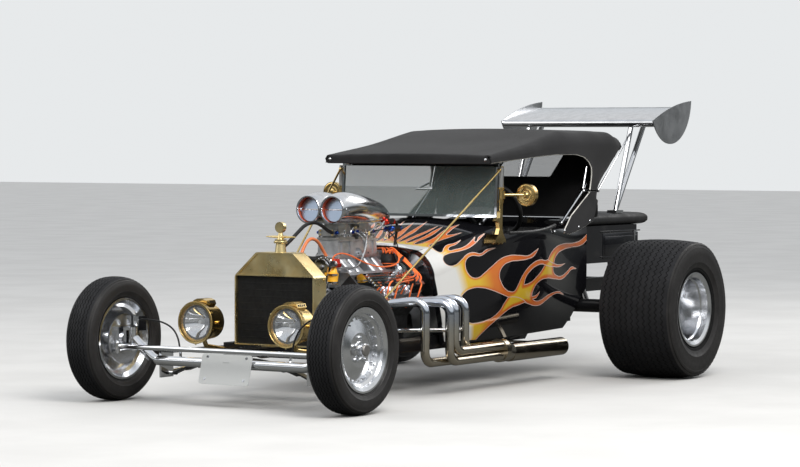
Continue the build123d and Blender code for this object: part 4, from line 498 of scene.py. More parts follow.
def slab(bm, centre, size, turn=None, bevel=0.0, material=0):
    """A box, with softened edges where a bevel is given."""
    verts = bmesh.ops.create_cube(bm, size=1.0)["verts"]
    bmesh.ops.scale(bm, vec=size, verts=verts)
    if bevel:
        edges = list({e for v in verts for e in v.link_edges})
        done = bmesh.ops.bevel(bm, geom=edges, offset=bevel, offset_type="OFFSET", affect="EDGES",
                               segments=2, profile=0.5, material=-1)
        verts = list({v for f in done["faces"] for v in f.verts} | {v for v in verts if v.is_valid})
    place = Matrix.Translation(centre) @ (turn.to_4x4() if turn is not None else Matrix.Identity(4))
    bmesh.ops.transform(bm, matrix=place, verts=verts)
    paint(verts, material)


def lathe(bm, profile, centre, axis, steps=64, material=0):
    """Spin a line of (distance along the axis, radius) points once round the axis."""
    place = centred(axis, centre)
    verts = [bm.verts.new(place @ Vector((radius, 0, along))) for along, radius in profile]
    edges = [bm.edges.new(pair) for pair in zip(verts, verts[1:])]
    bmesh.ops.spin(bm, geom=verts + edges, cent=centre, axis=Vector(axis).normalized(),
                   angle=math.tau, steps=steps, use_merge=True, use_duplicate=False)
    spun = set(verts)
    grown = list(verts)
    while grown:
        for edge in grown.pop().link_edges:
            for vert in edge.verts:
                if vert not in spun:
                    spun.add(vert)
                    grown.append(vert)
    paint(spun, material)
    if min(radius for along, radius in profile) < 1e-6:
        bmesh.ops.remove_doubles(bm, verts=list(spun), dist=1e-6)


def ring_points(count, centre, axis, radius, start=0.0):
    """Evenly spaced points round an axis."""
    place = centred(axis, centre)
    return [place @ Vector((radius * math.cos(a), radius * math.sin(a), 0))
            for a in (start + math.tau * i / count for i in range(count))]


def hose(name, points, radius, material, resolution=10, steps=4):
    """A round tube along a smooth line through the given points."""
    data = bpy.data.curves.new(name, "CURVE")
    data.dimensions = "3D"
    data.bevel_depth = radius
    data.bevel_resolution = steps
    data.resolution_u = resolution
    data.use_fill_caps = True
    line = data.splines.new("NURBS")
    line.points.add(len(points) - 1)
    for point, place in zip(line.points, points):
        point.co = (*place, 1.0)
    line.order_u = 3
    line.use_endpoint_u = True
    curve = bpy.data.objects.new(name, data)
    bpy.context.scene.collection.objects.link(curve)
    data.materials.append(finish(material))
    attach(curve, "body")
    return curve


class Skin:
    """The outer surface of some nodes, and its smooth normal wherever a ray meets it."""

    def __init__(self, *names):
        self.parts = []
        for name in names:
            mesh = NODES[name].data
            tree = BVHTree.FromPolygons([v.co for v in mesh.vertices], [p.vertices for p in mesh.polygons])
            self.parts.append((mesh, tree))

    def smooth(self, mesh, index, point):
        face = mesh.polygons[index]
        corners = [mesh.vertices[v].co for v in face.vertices]
        shares = poly_3d_calc(corners, point)
        normals = [mesh.corner_normals[loop].vector for loop in face.loop_indices]
        return sum((n * k for n, k in zip(normals, shares)), Vector()).normalized()

    def meet(self, start, way, reach):
        """The nearest point along a ray and the normal there, or None."""
        best = None
        for mesh, tree in self.parts:
            point, _, index, distance = tree.ray_cast(start, way, reach)
            if point is not None and (best is None or distance < best[0]):
                best = (distance, point, self.smooth(mesh, index, point))
        return best and best[1:]

    def nearest(self, place):
        """The nearest point of the surface and the normal there."""
        best = None
        for mesh, tree in self.parts:
            point, _, index, distance = tree.find_nearest(place)
            if best is None or distance < best[0]:
                best = (distance, point, self.smooth(mesh, index, point))
        return best[1:]


# What a user would change


def colour_of(name, description, default):
    """A colour that a user can change."""
    return FloatVectorProperty(name=name, description=description, size=3, subtype="COLOR", min=0, max=1,
                               default=default)


class PaintSettings(bpy.types.PropertyGroup):
    black: colour_of("Body black", "Colour of the body's gloss black", (0.008, 0.008, 0.010))
    white: colour_of("Flame root", "Colour of the flames at the cowl's edge", (0.92, 0.91, 0.88))
    yellow: colour_of("Flame yellow", "Colour of the flames' middle", (0.95, 0.62, 0.05))
    orange: colour_of("Flame orange", "Colour of the licks", (0.90, 0.24, 0.035))
    deep_orange: colour_of("Flame tip", "Colour at the licks' tips", (0.82, 0.17, 0.04))
    outline: colour_of("Flame outline", "Colour of the thin line round the flames", (0.90, 0.66, 0.56))


class StageSettings(bpy.types.PropertyGroup):
    key_power: FloatProperty(name="Key light", description="Power of the large soft light", default=620.0,
                             min=0.0, unit="POWER")
    fill_power: FloatProperty(name="Fill light", description="Power of the soft light on the far side",
                              default=150.0, min=0.0, unit="POWER")
    sky: FloatProperty(name="Surround", description="Brightness of the plain surround", default=0.80,
                       min=0.0, max=2.0)


class RoadsterOperator:
    """Shared options of the operators that build the car."""

    bl_options = {"REGISTER", "UNDO"}


class CAMERA(RoadsterOperator, bpy.types.Operator):
    """Place the camera where the photograph was taken from"""

    bl_idname = "roadster.camera"
    bl_label = "Camera"

    def execute(self, context):
        data = bpy.data.cameras.new("view")
        data.sensor_fit = "HORIZONTAL"
        data.sensor_width = 36.0
        data.lens = VIEW_LENS
        data.clip_end = 200.0
        camera = bpy.data.objects.new("view", data)
        context.scene.collection.objects.link(camera)
        yaw, pitch, roll = (math.radians(angle) for angle in VIEW_TURN)
        ahead = Vector((math.cos(pitch) * math.cos(yaw), math.cos(pitch) * math.sin(yaw), math.sin(pitch)))
        right = ahead.cross(UP).normalized()
        top = right.cross(ahead)
        right, top = (right * math.cos(roll) + top * math.sin(roll),
                      top * math.cos(roll) - right * math.sin(roll))
        turn = Matrix((right, top, -ahead)).transposed()
        camera.matrix_world = Matrix.Translation(VIEW_PLACE) @ turn.to_4x4()
        context.scene.camera = camera
        context.scene.view_settings.view_transform = "Standard"
        return {"FINISHED"}


class STAGE(RoadsterOperator, bpy.types.Operator):
    """Make the pale floor, the surround and the soft studio lights"""

    bl_idname = "roadster.stage"
    bl_label = "Stage"

    def execute(self, context):
        settings = context.scene.roadster_stage
        f = Finish("floor", (0.80, 0.79, 0.77), 0.0, 0.85)
        # pale where the camera sees it, dark where paint and chrome reflect it, as grass would be
        pale = f.mix(f.span(f.noise(1.3, 5.0), 0.3, 0.7), (0.74, 0.73, 0.71), (0.68, 0.67, 0.65))
        seen = f.add("ShaderNodeLightPath").outputs["Is Camera Ray"]
        f.colour(f.mix(seen, (0.13, 0.13, 0.12), pale))
        f.bump(f.noise(180.0, 3.0), 0.0006, 0.4)
        bm = bmesh.new()
        bmesh.ops.create_grid(bm, x_segments=1, y_segments=1, size=60.0)
        floor = as_object("floor", bm, [f.material])
        self.surround(context, settings)
        lights = (("key", (4.5, 6.0, 7.5), (0.0, 0.0, 0.5), 5.0, settings.key_power),
                  ("fill", (5.0, -6.5, 5.0), (0.0, 0.0, 0.6), 6.0, settings.fill_power),
                  ("back", (-7.5, 2.5, 5.5), (-0.5, 0.0, 0.6), 4.0, settings.fill_power))
        for name, place, target, size, power in lights:
            lamp = bpy.data.lights.new(name, "AREA")
            lamp.shape = "SQUARE"
            lamp.size = size
            lamp.energy = power
            lamp.color = (1.0, 0.985, 0.96)
            holder = bpy.data.objects.new(name, lamp)
            holder.location = place
            holder.rotation_euler = (Vector(target) - Vector(place)).to_track_quat("-Z", "Y").to_euler()
            context.scene.collection.objects.link(holder)
        return {"FINISHED"}

    def surround(self, context, settings):
        """A plain surround: pale above, darker near the ground, so that bright metal has contrast."""
        world = bpy.data.worlds.new("surround")
        world.use_nodes = True
        context.scene.world = world
        tree = world.node_tree
        tree.nodes.clear()
        out, shade, plain, coords, split, half, ramp, ray, choose = (
            tree.nodes.new("ShaderNode" + kind)
            for kind in ("OutputWorld", "Background", "Background", "TexCoord", "SeparateXYZ", "MapRange",
                         "ValToRGB", "LightPath", "MixShader"))
        shade.inputs["Strength"].default_value = settings.sky
        plain.inputs["Color"].default_value = (0.80, 0.82, 0.83, 1.0)
        half.inputs["From Min"].default_value = -1.0
        half.inputs["From Max"].default_value = 1.0
        set_stops(ramp, ((0.0, (0.30, 0.29, 0.27)), (0.485, (0.20, 0.20, 0.19)), (0.50, (0.07, 0.075, 0.075)),
                         (0.555, (0.12, 0.13, 0.13)), (0.60, (0.80, 0.84, 0.88)), (0.80, (1.0, 1.0, 1.0)),
                         (1.0, (0.86, 0.92, 1.0))))
        for source, target in ((coords.outputs["Generated"], split.inputs[0]),
                               (split.outputs["Z"], half.inputs["Value"]),
                               (half.outputs["Result"], ramp.inputs["Fac"]),
                               (ramp.outputs["Color"], shade.inputs["Color"]),
                               (ray.outputs["Is Camera Ray"], choose.inputs["Fac"]),
                               (shade.outputs[0], choose.inputs[1]),
                               (plain.outputs[0], choose.inputs[2]),
                               (choose.outputs[0], out.inputs["Surface"])):
            tree.links.new(source, target)


NODE_FINISHES = {
    "frame": "black_chassis", "front_axle": "chrome", "front_suspension": "spring_and_rods",
    "knuckle_left": "chrome", "knuckle_right": "chrome", "tie_rod": "chrome", "drag_link": "chrome",
    "pitman_arm": "chrome", "front_wheel_left": "spun_alloy", "front_wheel_right": "spun_alloy",
    "front_tyre_left": "tread_rubber", "front_tyre_right": "tread_rubber", "rear_wheel_left": "spun_alloy",
    "rear_wheel_right": "spun_alloy", "rear_tyre_left": "tread_rubber", "rear_tyre_right": "tread_rubber",
    "rear_axle": "black_chassis", "rear_suspension": "black_chassis", "cowl": "black_paint",
    "body_tub": "black_paint", "floor_pan": "carpet", "firewall": "polished_alloy",
    "engine_block": "engine_paint", "driveline": "cast_alloy", "valve_covers": "chrome",
    "intake_manifold": "intake_alloy", "intake_plenum": "intake_alloy", "front_drive": "polished_alloy",
    "distributor": "core_black", "ignition_coil": "canister_yellow", "carburettors": "pale_alloy",
    "air_scoop": "polished_alloy", "headers_left": "header_pipe", "headers_right": "header_pipe",
    "radiator_shell": "pale_brass", "radiator_core": "core_black",
    "head_lamps": "brass", "lamp_lenses": "lamp_glass", "number_plate": "plate_white",
    "windscreen_frame": "chrome", "windscreen_glass": "screen_glass", "windscreen_posts": "brass",
    "mirrors": "brass", "soft_top": "top_cloth", "top_bows": "chrome", "pickup_bed": "black_paint",
    "tonneau_cover": "cover_vinyl", "wing": "polished_alloy", "wing_end_plates": "brushed_alloy",
    "wing_struts": "chrome", "seat_cushion": "seat_vinyl", "seat_back": "seat_vinyl",
    "steering_column": "chrome", "steering_wheel": "black_plastic",
}


class FINISHES(RoadsterOperator, bpy.types.Operator):
    """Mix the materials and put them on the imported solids"""

    bl_idname = "roadster.finishes"
    bl_label = "Finishes"

    def execute(self, context):
        mix_palette(context.scene.roadster_paint)
        for node, name in NODE_FINISHES.items():
            piece = NODES[node]
            for slot in piece.material_slots:
                slot.material = finish(name)
        return {"FINISHED"}


# The flames' outlines on the body, unrolled about a line along its middle. Millimetres: setback,
# height round the side from the line's level, and 1 where the outline has a sharp corner.
LICKS = [(1720, 785, 1), (1640, 766, 0), (1560, 744, 0), (1500, 736, 0), (1462, 718, 0), (1484, 698, 0),
         (1540, 704, 0), (1600, 700, 0), (1660, 690, 0), (1740, 678, 1), (1660, 662, 0), (1600, 648, 0),
         (1540, 655, 0), (1490, 655, 0), (1452, 636, 0), (1474, 612, 0), (1520, 600, 0), (1570, 585, 0),
         (1620, 562, 0), (1700, 540, 1), (1620, 536, 0), (1560, 546, 0), (1500, 560, 0), (1450, 542, 0),
         (1466, 518, 0), (1510, 505, 0), (1570, 500, 0), (1630, 506, 0), (1693, 500, 1), (1640, 480, 0),
         (1580, 464, 0), (1530, 464, 0), (1480, 470, 0), (1440, 450, 0), (1452, 424, 0), (1500, 415, 0),
         (1560, 420, 0), (1620, 440, 0), (1680, 452, 0), (1749, 434, 1), (1700, 425, 0), (1650, 408, 0),
         (1612, 386, 0), (1625, 366, 0), (1668, 348, 1), (1600, 350, 0), (1545, 356, 0), (1490, 356, 0),
         (1446, 340, 0), (1436, 305, 0), (1443, 263, 0), (1461, 249, 0), (1491, 275, 0), (1520, 291, 0),
         (1559, 286, 0), (1605, 293, 1), (1560, 274, 0), (1520, 269, 0), (1508, 251, 0), (1544, 243, 0),
         (1593, 243, 0), (1643, 262, 0), (1680, 283, 1), (1663, 254, 0), (1697, 273, 0), (1741, 283, 1),
         (1693, 261, 0), (1649, 240, 0), (1612, 228, 0), (1561, 225, 0), (1485, 226, 0), (1456, 213, 0),
         (1449, 177, 0), (1477, 145, 0), (1519, 143, 0), (1561, 170, 0), (1598, 195, 0), (1632, 197, 0),
         (1678, 182, 0), (1714, 196, 0), (1774, 195, 1), (1724, 187, 0), (1679, 171, 0), (1617, 180, 0),
         (1588, 163, 0), (1584, 126, 0), (1602, 80, 0), (1636, 50, 0), (1675, 48, 0), (1711, 71, 0),
         (1760, 105, 0), (1816, 137, 0), (1881, 148, 0), (1966, 143, 0), (2056, 138, 0), (2103, 151, 0),
         (2158, 168, 1), (2118, 137, 0), (2045, 122, 0), (1973, 119, 0), (1889, 117, 0), (1840, 99, 0),
         (1822, 59, 0), (1847, 11, 0), (1899, -32, 0), (1950, -47, 0), (1984, -43, 0), (2000, -15, 0),
         (2018, 27, 0), (2049, 66, 0), (2114, 100, 0), (2192, 114, 0), (2268, 110, 0), (2299, 114, 1),
         (2336, 144, 0), (2439, 181, 0), (2564, 199, 0), (2695, 204, 0), (2778, 217, 0), (2862, 262, 1),
         (2812, 202, 0), (2781, 190, 0), (2680, 184, 0), (2540, 167, 0), (2440, 141, 0), (2403, 113, 0),
         (2396, 93, 1), (2468, 85, 0), (2573, 91, 1), (2481, 74, 0), (2385, 76, 1), (2398, 51, 0),
         (2450, 26, 0), (2533, 21, 0), (2618, 49, 0), (2667, 69, 0), (2723, 56, 1), (2664, 53, 0),
         (2614, 28, 0), (2543, 2, 0), (2437, 6, 0), (2314, 15, 0), (2230, 3, 0), (2186, -27, 0),
         (2177, -68, 0), (2184, -85, 1), (2226, -79, 0), (2263, -59, 1), (2243, -92, 0), (2199, -100, 1),
         (2245, -115, 0), (2307, -112, 0), (2372, -89, 0), (2448, -75, 0), (2530, -75, 0), (2593, -99, 1),
         (2505, -83, 0), (2436, -93, 0), (2372, -119, 0), (2317, -142, 0), (2248, -144, 0), (2175, -129, 0),
         (2120, -117, 1), (2067, -130, 0), (2004, -144, 0), (1953, -173, 0), (1907, -212, 0),
         (1860, -252, 0), (1820, -291, 0), (1790, -322, 0), (1770, -346, 1)]
HOLE_LOW = [(1565, -80, 0), (1591, -41, 0), (1638, -18, 0), (1707, -16, 0), (1785, -33, 0), (1864, -56, 0),
            (1939, -78, 1), (1919, -113, 0), (1899, -161, 0), (1859, -199, 0), (1793, -227, 0),
            (1723, -241, 0), (1661, -240, 0), (1606, -213, 0), (1576, -165, 0), (1562, -118, 0)]
HOLE_HIGH = [(2060, -12, 1), (2062, 29, 0), (2100, 64, 0), (2159, 86, 0), (2223, 93, 0), (2263, 88, 1),
             (2233, 60, 0), (2184, 28, 0), (2126, -1, 0)]
CROSSING_LOW = [(1939, -78, 1), (2014, -80, 0), (2088, -97, 0), (2147, -122, 1)]
CROSSING_UPPER = [(2299, 114, 1), (2347, 101, 0), (2396, 93, 1)]
CROSSING_LOWER = [(2263, 88, 1), (2323, 80, 0), (2385, 76, 1)]
COWL_EDGE = [(1700, -346), (1600, -348), (1465, -350), (1443, -290), (1417, -177), (1399, -90), (1385, 0),
             (1375, 50), (1367, 100), (1357, 150), (1349, 200), (1343, 250), (1337, 300), (1333, 400),
             (1331, 500), (1330, 650), (1329, 785.4)]
# Height round the side, where white ends and where orange begins. Millimetres.
HEAT = [(-346, 1700, 1850), (-230, 1640, 1840), (-100, 1560, 1800), (0, 1530, 1800), (150, 1490, 1720),
        (250, 1440, 1600), (350, 1400, 1500), (800, 1390, 1470)]
# Metres: radius of the unrolling, height of its line, and spacing of the cuts that let flames bend
UNROLL_RADIUS = 0.5
UNROLL_Z = 0.55
FLAME_CUT = 0.012
# Behind this X of the flat outline the flames are orange, with a yellow core this far from their edges
CORE_FROM = 1.93
CORE_DEPTH = 0.016
# The flames' UV map holds the distance from an edge, in metres, times this
EDGE_SCALE = 10
# How far flames and their outlines stand off the paint, and half the outline's width. Metres.
FLAME_LIFT = 0.0004
OUTLINE_LIFT = 0.0007
OUTLINE_HALF = 0.0019


def along_table(table, value):
    """The other columns of a table at a value of its first column."""
    for (a, *low), (b, *high) in zip(table, table[1:]):
        if value <= b:
            share = max(0.0, (value - a) / (b - a))
            return [p + (q - p) * share for p, q in zip(low, high)]
    return list(table[-1][1:])


class FLAMES(RoadsterOperator, bpy.types.Operator):
    """Lay the painted flames and their pale outlines over the cowl and the body's sides"""

    bl_idname = "roadster.flames"
    bl_label = "Flames"

    def execute(self, context):
        self.body = Skin("cowl", "body_tub")
        front = [(setback, height, 1) for setback, height in COWL_EDGE]
        outline = self.flat_line([(LICKS + front, True), (HOLE_LOW, True), (HOLE_HIGH, True)], fill=True)
        stripes = [(LICKS, False), (HOLE_LOW, True), (HOLE_HIGH, True), (CROSSING_LOW, False),
                   (CROSSING_UPPER, False), (CROSSING_LOWER, False)]
        for side, name in SIDES:
            self.sheet(outline, side, name)
            self.outlines(stripes, side, name)
        bpy.data.meshes.remove(outline)
        return {"FINISHED"}

    def flat_line(self, lines, fill):
        """A flat mesh of smooth closed or open outlines."""
        data = bpy.data.curves.new("flat", "CURVE")
        data.dimensions = "2D"
        data.fill_mode = "BOTH" if fill else "NONE"
        data.resolution_u = 6
        for points, closed in lines:
            line = data.splines.new("BEZIER")
            line.bezier_points.add(len(points) - 1)
            for knot, (setback, height, sharp) in zip(line.bezier_points, points):
                knot.co = (setback / 1000, height / 1000, 0)
            for knot, (setback, height, sharp) in zip(line.bezier_points, points):
                knot.handle_left_type = knot.handle_right_type = "VECTOR" if sharp else "AUTO"
            line.use_cyclic_u = closed
        holder = bpy.data.objects.new("flat", data)
        mesh = bpy.data.meshes.new_from_object(holder)
        bpy.data.objects.remove(holder)
        bpy.data.curves.remove(data)
        return mesh

    def wrap(self, bm, side, lift):
        """Bring flat points onto the body's side. Returns the surface normals."""
        normals = []
        for vert in bm.verts:
            angle = vert.co.y / UNROLL_RADIUS
            way = Vector((0, side * math.cos(angle), math.sin(angle)))
            middle = Vector((FRONT_AXLE_X - vert.co.x, 0, UNROLL_Z))
            found = self.body.meet(middle + way * 0.95, -way, 0.85)
            point, normal = found or self.body.nearest(middle + way * 0.4)
            vert.co = point + normal * lift
            normals.append(normal)
        return normals

    def lay(self, name, bm, material, side, lift):
        """Make a piece of flat faces, laid on the body's side and shaded as the body is."""
        normals = self.wrap(bm, side, lift)
        bmesh.ops.recalc_face_normals(bm, faces=bm.faces)
        outward = sum(f.normal.dot(normals[f.verts[0].index]) for f in bm.faces)
        if outward < 0:
            bmesh.ops.reverse_faces(bm, faces=bm.faces)
        piece = as_object(name, bm, [finish(material)])
        piece.data.shade_smooth()
        piece.data.normals_split_custom_set_from_vertices(normals)
        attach(piece, "body")

    def sheet(self, outline, side, name):
        """The flames of one side. Their UV map holds the heat and the distance from an edge."""
        bm = bmesh.new()
        bm.from_mesh(outline)
        bmesh.ops.remove_doubles(bm, verts=bm.verts, dist=1e-5)
        rim = [v.co.copy() for v in bm.verts]
        rim += [(e.verts[0].co + e.verts[1].co) / 2 for e in bm.edges if e.is_boundary]
        near = KDTree(len(rim))
        for index, place in enumerate(rim):
            near.insert(place, index)
        near.balance()
        cut_across(bm, AHEAD, 1.32, 2.88, FLAME_CUT)
        cut_across(bm, ACROSS, -0.36, 0.79, FLAME_CUT)
        bm.verts.index_update()
        for layer in list(bm.loops.layers.uv.values()):
            bm.loops.layers.uv.remove(layer)
        place = bm.loops.layers.uv.new("flame")
        for vert in bm.verts:
            away = near.find(vert.co)[2]
            white, orange = along_table(HEAT, vert.co.y * 1000)
            warm = (vert.co.x * 1000 - white) / (orange - white)
            if vert.co.x > CORE_FROM:
                warm = 1.0 - 0.6 * min(1.0, max(0.0, (away - CORE_DEPTH) / CORE_DEPTH))
            for loop in vert.link_loops:
                loop[place].uv = (min(1.0, max(0.0, warm)), away * EDGE_SCALE)
        self.lay(f"flames_{name}", bm, "flame_paint", side, FLAME_LIFT)

    def outlines(self, lines, side, name):
        """A thin painted line along each outline."""
        whole = bmesh.new()
        for points, closed in lines:
            flat = self.flat_line([(points, closed)], fill=False)
            bm = bmesh.new()
            bm.from_mesh(flat)
            bpy.data.meshes.remove(flat)
            bm.verts.ensure_lookup_table()
            row = [v.co.copy() for v in bm.verts]
            count = len(row)
            made = bmesh.ops.extrude_edge_only(bm, edges=bm.edges)
            twins = [v for v in made["geom"] if isinstance(v, bmesh.types.BMVert)]
            pairs = {}
            for vert in twins:
                for link in vert.link_edges:
                    other = link.other_vert(vert)
                    if (other.co - vert.co).length < 1e-7:
                        pairs[other.index] = vert
            bm.verts.ensure_lookup_table()
            for index, twin in pairs.items():
                before = row[index - 1] if index or closed else row[0]
                after = row[(index + 1) % count] if index + 1 < count or closed else row[-1]
                sideways = (after - before).cross(UP).normalized() * OUTLINE_HALF
                bm.verts[index].co += sideways
                twin.co -= sideways
            part = bpy.data.meshes.new("part")
            bm.to_mesh(part)
            bm.free()
            whole.from_mesh(part)
            bpy.data.meshes.remove(part)
        whole.verts.index_update()
        self.lay(f"flame_lines_{name}", whole, "flame_line", side, OUTLINE_LIFT)


# Tyres by end: hub, half width, radius, half rim, shoulder drop, half tread, groove places,
# groove half width, groove depth and how far the zigzag swings. Metres.
FRONT_GROOVES = (-0.045, -0.027, -0.009, 0.009, 0.027, 0.045)
REAR_GROOVES = tuple(place / 1000 for place in range(-180, 181, 36))
TYRE_SIZES = {
    "front": (FRONT_HUB, 0.0825, 0.316, 0.055, 0.009, 0.062, FRONT_GROOVES, 0.0022, 0.005, 0.0042),
    "rear": (REAR_HUB, 0.224, 0.388, 0.190, 0.014, 0.208, REAR_GROOVES, 0.0030, 0.004, 0.0075),
}
BEAD_R = 0.1902
FLANGE_R = 0.210
SHOULDER_NOTCH = 0.0022
# Relief on a tyre's wall: share of the way from bead to shoulder, and millimetres that it stands out
WALL_RELIEF = [(0.0, 0), (0.05, 0), (0.07, 2.4), (0.11, 2.4), (0.13, 0), (0.17, 0.8), (0.19, 0), (0.34, 0),
               (0.35, 0.9), (0.37, 0.9), (0.38, 0), (0.60, 0), (0.72, 0.4), (0.81, 0.5), (0.82, 1.8),
               (0.89, 1.8), (0.90, -2.2), (0.925, -2.2), (0.935, 0.6), (1.0, 0)]


def circle_through(a, b, c):
    """Centre and radius of the circle through three points of a plane."""
    (ax, ay), (bx, by), (cx, cy) = a, b, c
    twice = 2 * (ax * (by - cy) + bx * (cy - ay) + cx * (ay - by))
    aa, bb, cc = ax * ax + ay * ay, bx * bx + by * by, cx * cx + cy * cy
    x = (aa * (by - cy) + bb * (cy - ay) + cc * (ay - by)) / twice
    y = (aa * (cx - bx) + bb * (ax - cx) + cc * (bx - ax)) / twice
    return x, y, math.hypot(ax - x, ay - y)


class TYRES(RoadsterOperator, bpy.types.Operator):
    """Mould the tyres: zigzag grooves round the tread, ridged walls"""

    bl_idname = "roadster.tyres"
    bl_label = "Tyres"

    pitches: IntProperty(name="Pitches", description="Zigzag pitches round each tyre", default=72, min=12)

    def execute(self, context):
        for end, sizes in TYRE_SIZES.items():
            for side, name in SIDES:
                self.tyre(end, name, side, *sizes)
        return {"FINISHED"}

    def wall(self, half, radius, rim, drop, tread):
        """Points of the outer wall from the bead to the shoulder."""
        start, end = (rim, FLANGE_R), (tread, radius - drop)
        # the wall is widest a little below the middle of its height
        middle = (half, (0.208 + radius) / 2 - 0.006)
        cy, cr, arc = circle_through(start, middle, end)
        first = math.atan2(start[1] - cr, start[0] - cy)
        last = math.atan2(end[1] - cr, end[0] - cy)
        points = []
        for share, out in WALL_RELIEF:
            angle = first + (last - first) * share
            reach = arc + out / 1000
            points.append((cy + reach * math.cos(angle), cr + reach * math.sin(angle)))
        return points

    def tyre(self, end, name, side, hub, half, radius, rim, drop, tread, grooves, wide, deep, swing):
        """One tyre: its profile spun round, its grooves swung into zigzags and its shoulders notched."""
        arc = (tread * tread + drop * drop) / (2 * drop)

        def crown(place):
            return radius - arc + math.sqrt(arc * arc - place * place)

        wall = self.wall(half, radius, rim, drop, tread)
        band = []
        for place in grooves:
            band += [(place - wide, crown(place)), (place - wide * 0.6, crown(place) - deep),
                     (place + wide * 0.6, crown(place) - deep), (place + wide, crown(place))]
        band = [(-tread + 0.004, crown(tread - 0.004))] + band + [(tread - 0.004, crown(tread - 0.004))]
        profile = [(-rim, BEAD_R)] + [(-y, r) for y, r in wall] + band + wall[::-1] + [(rim, BEAD_R)]
        profile.append(profile[0])
        centre = Vector((hub.x, side * hub.y, hub.z))
        steps = self.pitches * 2
        bm = bmesh.new()
        lathe(bm, profile, centre, ACROSS, steps)
        bmesh.ops.remove_doubles(bm, verts=bm.verts, dist=1e-6)
        for vert in bm.verts:
            away = vert.co - centre
            reach = math.hypot(away.x, away.z)
            odd = round(math.atan2(away.z, away.x) / math.tau * steps) % 2
            if abs(away.y) < tread - 0.006 and reach > radius - drop - deep - 0.001:
                vert.co.y += swing if odd else -swing
            elif odd and tread - 0.006 < abs(away.y) < tread + 0.001 and reach > radius - drop - 0.002:
                vert.co -= Vector((away.x, 0, away.z)).normalized() * SHOULDER_NOTCH
        for face in bm.faces:
            away = face.calc_center_median() - centre
            reach = math.hypot(away.x, away.z)
            if abs(away.y) < tread - 0.001:
                # faces deep in a groove take the darker groove rubber, a painted shade
                face.material_index = 2 if reach < crown(away.y) - deep * 0.35 else 0
            else:
                face.material_index = 1
        piece = settle(f"tyre_{end}_{name}", bm, ("tread_rubber", "wall_rubber", "groove_rubber"),
                       f"wheel_{end}_{name}", crease=24.0)
        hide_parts(f"{end}_tyre_{name}")


# Rings of bolts and nuts on the wheels: how many, ring radius, place outward of the hub's middle,
# bolt radius and bolt height. Metres.
WHEEL_RINGS = {
    "front": [(24, 0.150, 0.0185, 0.0052, 0.007), (5, 0.058, 0.035, 0.0095, 0.020)],
    "rear": [(5, 0.088, 0.020, 0.0110, 0.024)],
}


class WHEELS(RoadsterOperator, bpy.types.Operator):
    """Put the bolts, nuts, hub caps and valves on the wheels"""

    bl_idname = "roadster.wheels"
    bl_label = "Wheel trim"

    def execute(self, context):
        for end, rings in WHEEL_RINGS.items():
            hub = TYRE_SIZES[end][0]
            for side, name in SIDES:
                centre = Vector((hub.x, side * hub.y, hub.z))
                out = ACROSS * side
                bm = bmesh.new()
                for count, reach, along, radius, height in rings:
                    for foot in ring_points(count, centre + out * along, out, reach, 0.3):
                        hex_bolt(bm, foot, out, radius, height)
                self.cap(bm, end, centre, out)
                settle(f"wheel_trim_{end}_{name}", bm, ("chrome", "groove_rubber", "dull_alloy"),
                       f"wheel_{end}_{name}")
        return {"FINISHED"}

    def cap(self, bm, end, centre, out):
        """The hub's cap, the bead round it and the tyre's valve."""
        if end == "front":
            tip = 0.0735
            lathe(bm, [(tip - 0.006, 0.0), (tip - 0.006, 0.0290), (tip + 0.001, 0.0290),
                       (tip + 0.004, 0.0255), (tip + 0.005, 0.0)], centre, out, 32, 2)
            lathe(bm, [(0.0335, 0.0335), (0.0375, 0.0350), (0.041, 0.0400), (0.0375, 0.0440),
                       (0.0335, 0.0440)], centre, out, 48)
        else:
            tip = 0.080
            lathe(bm, [(tip - 0.004, 0.0), (tip - 0.004, 0.042), (tip + 0.004, 0.040), (tip + 0.008, 0.030),
                       (tip + 0.010, 0.0)], centre, out, 40)
            lathe(bm, [(0.0195, 0.066), (0.026, 0.066), (0.028, 0.070), (0.026, 0.074), (0.0195, 0.074)],
                  centre, out, 56)
        seat = 0.030 if end == "front" else 0.150
        foot = centre + out * seat + Vector((0.118, 0, 0.128))
        rod(bm, foot, foot + out * 0.028 - Vector((0.004, 0, 0.004)), 0.0042, 0.0034, 10, 1)


def at(setback, across_mm, up_mm):
    """A place from millimetres: behind the front axle, left of the middle, above the ground."""
    return Vector((aft(setback), across_mm / 1000, up_mm / 1000))


def bank(up, out, side, setback):
    """A place on a cylinder bank: distance up its 45 degree axis and outward from it, in millimetres."""
    return at(setback, side * (up + out) * LEG, CRANK_UP + (up - out) * LEG)


# Height of the crankshaft, and stations of the engine's like pieces behind the front axle. Millimetres.
CRANK_UP = 335
CARB_STATIONS = (946, 1146)
PLUG_STATIONS = (942, 1012, 1160, 1232)
COVER_BOLTS = (850, 960, 1085, 1210, 1320)
# Leads of one side: plug station, how far out and how high the lead runs along the cover
LEAD_RUNS = ((942, 318, 596), (1012, 326, 588), (1160, 320, 580), (1232, 330, 574))
LEAD_RADIUS = 0.0042
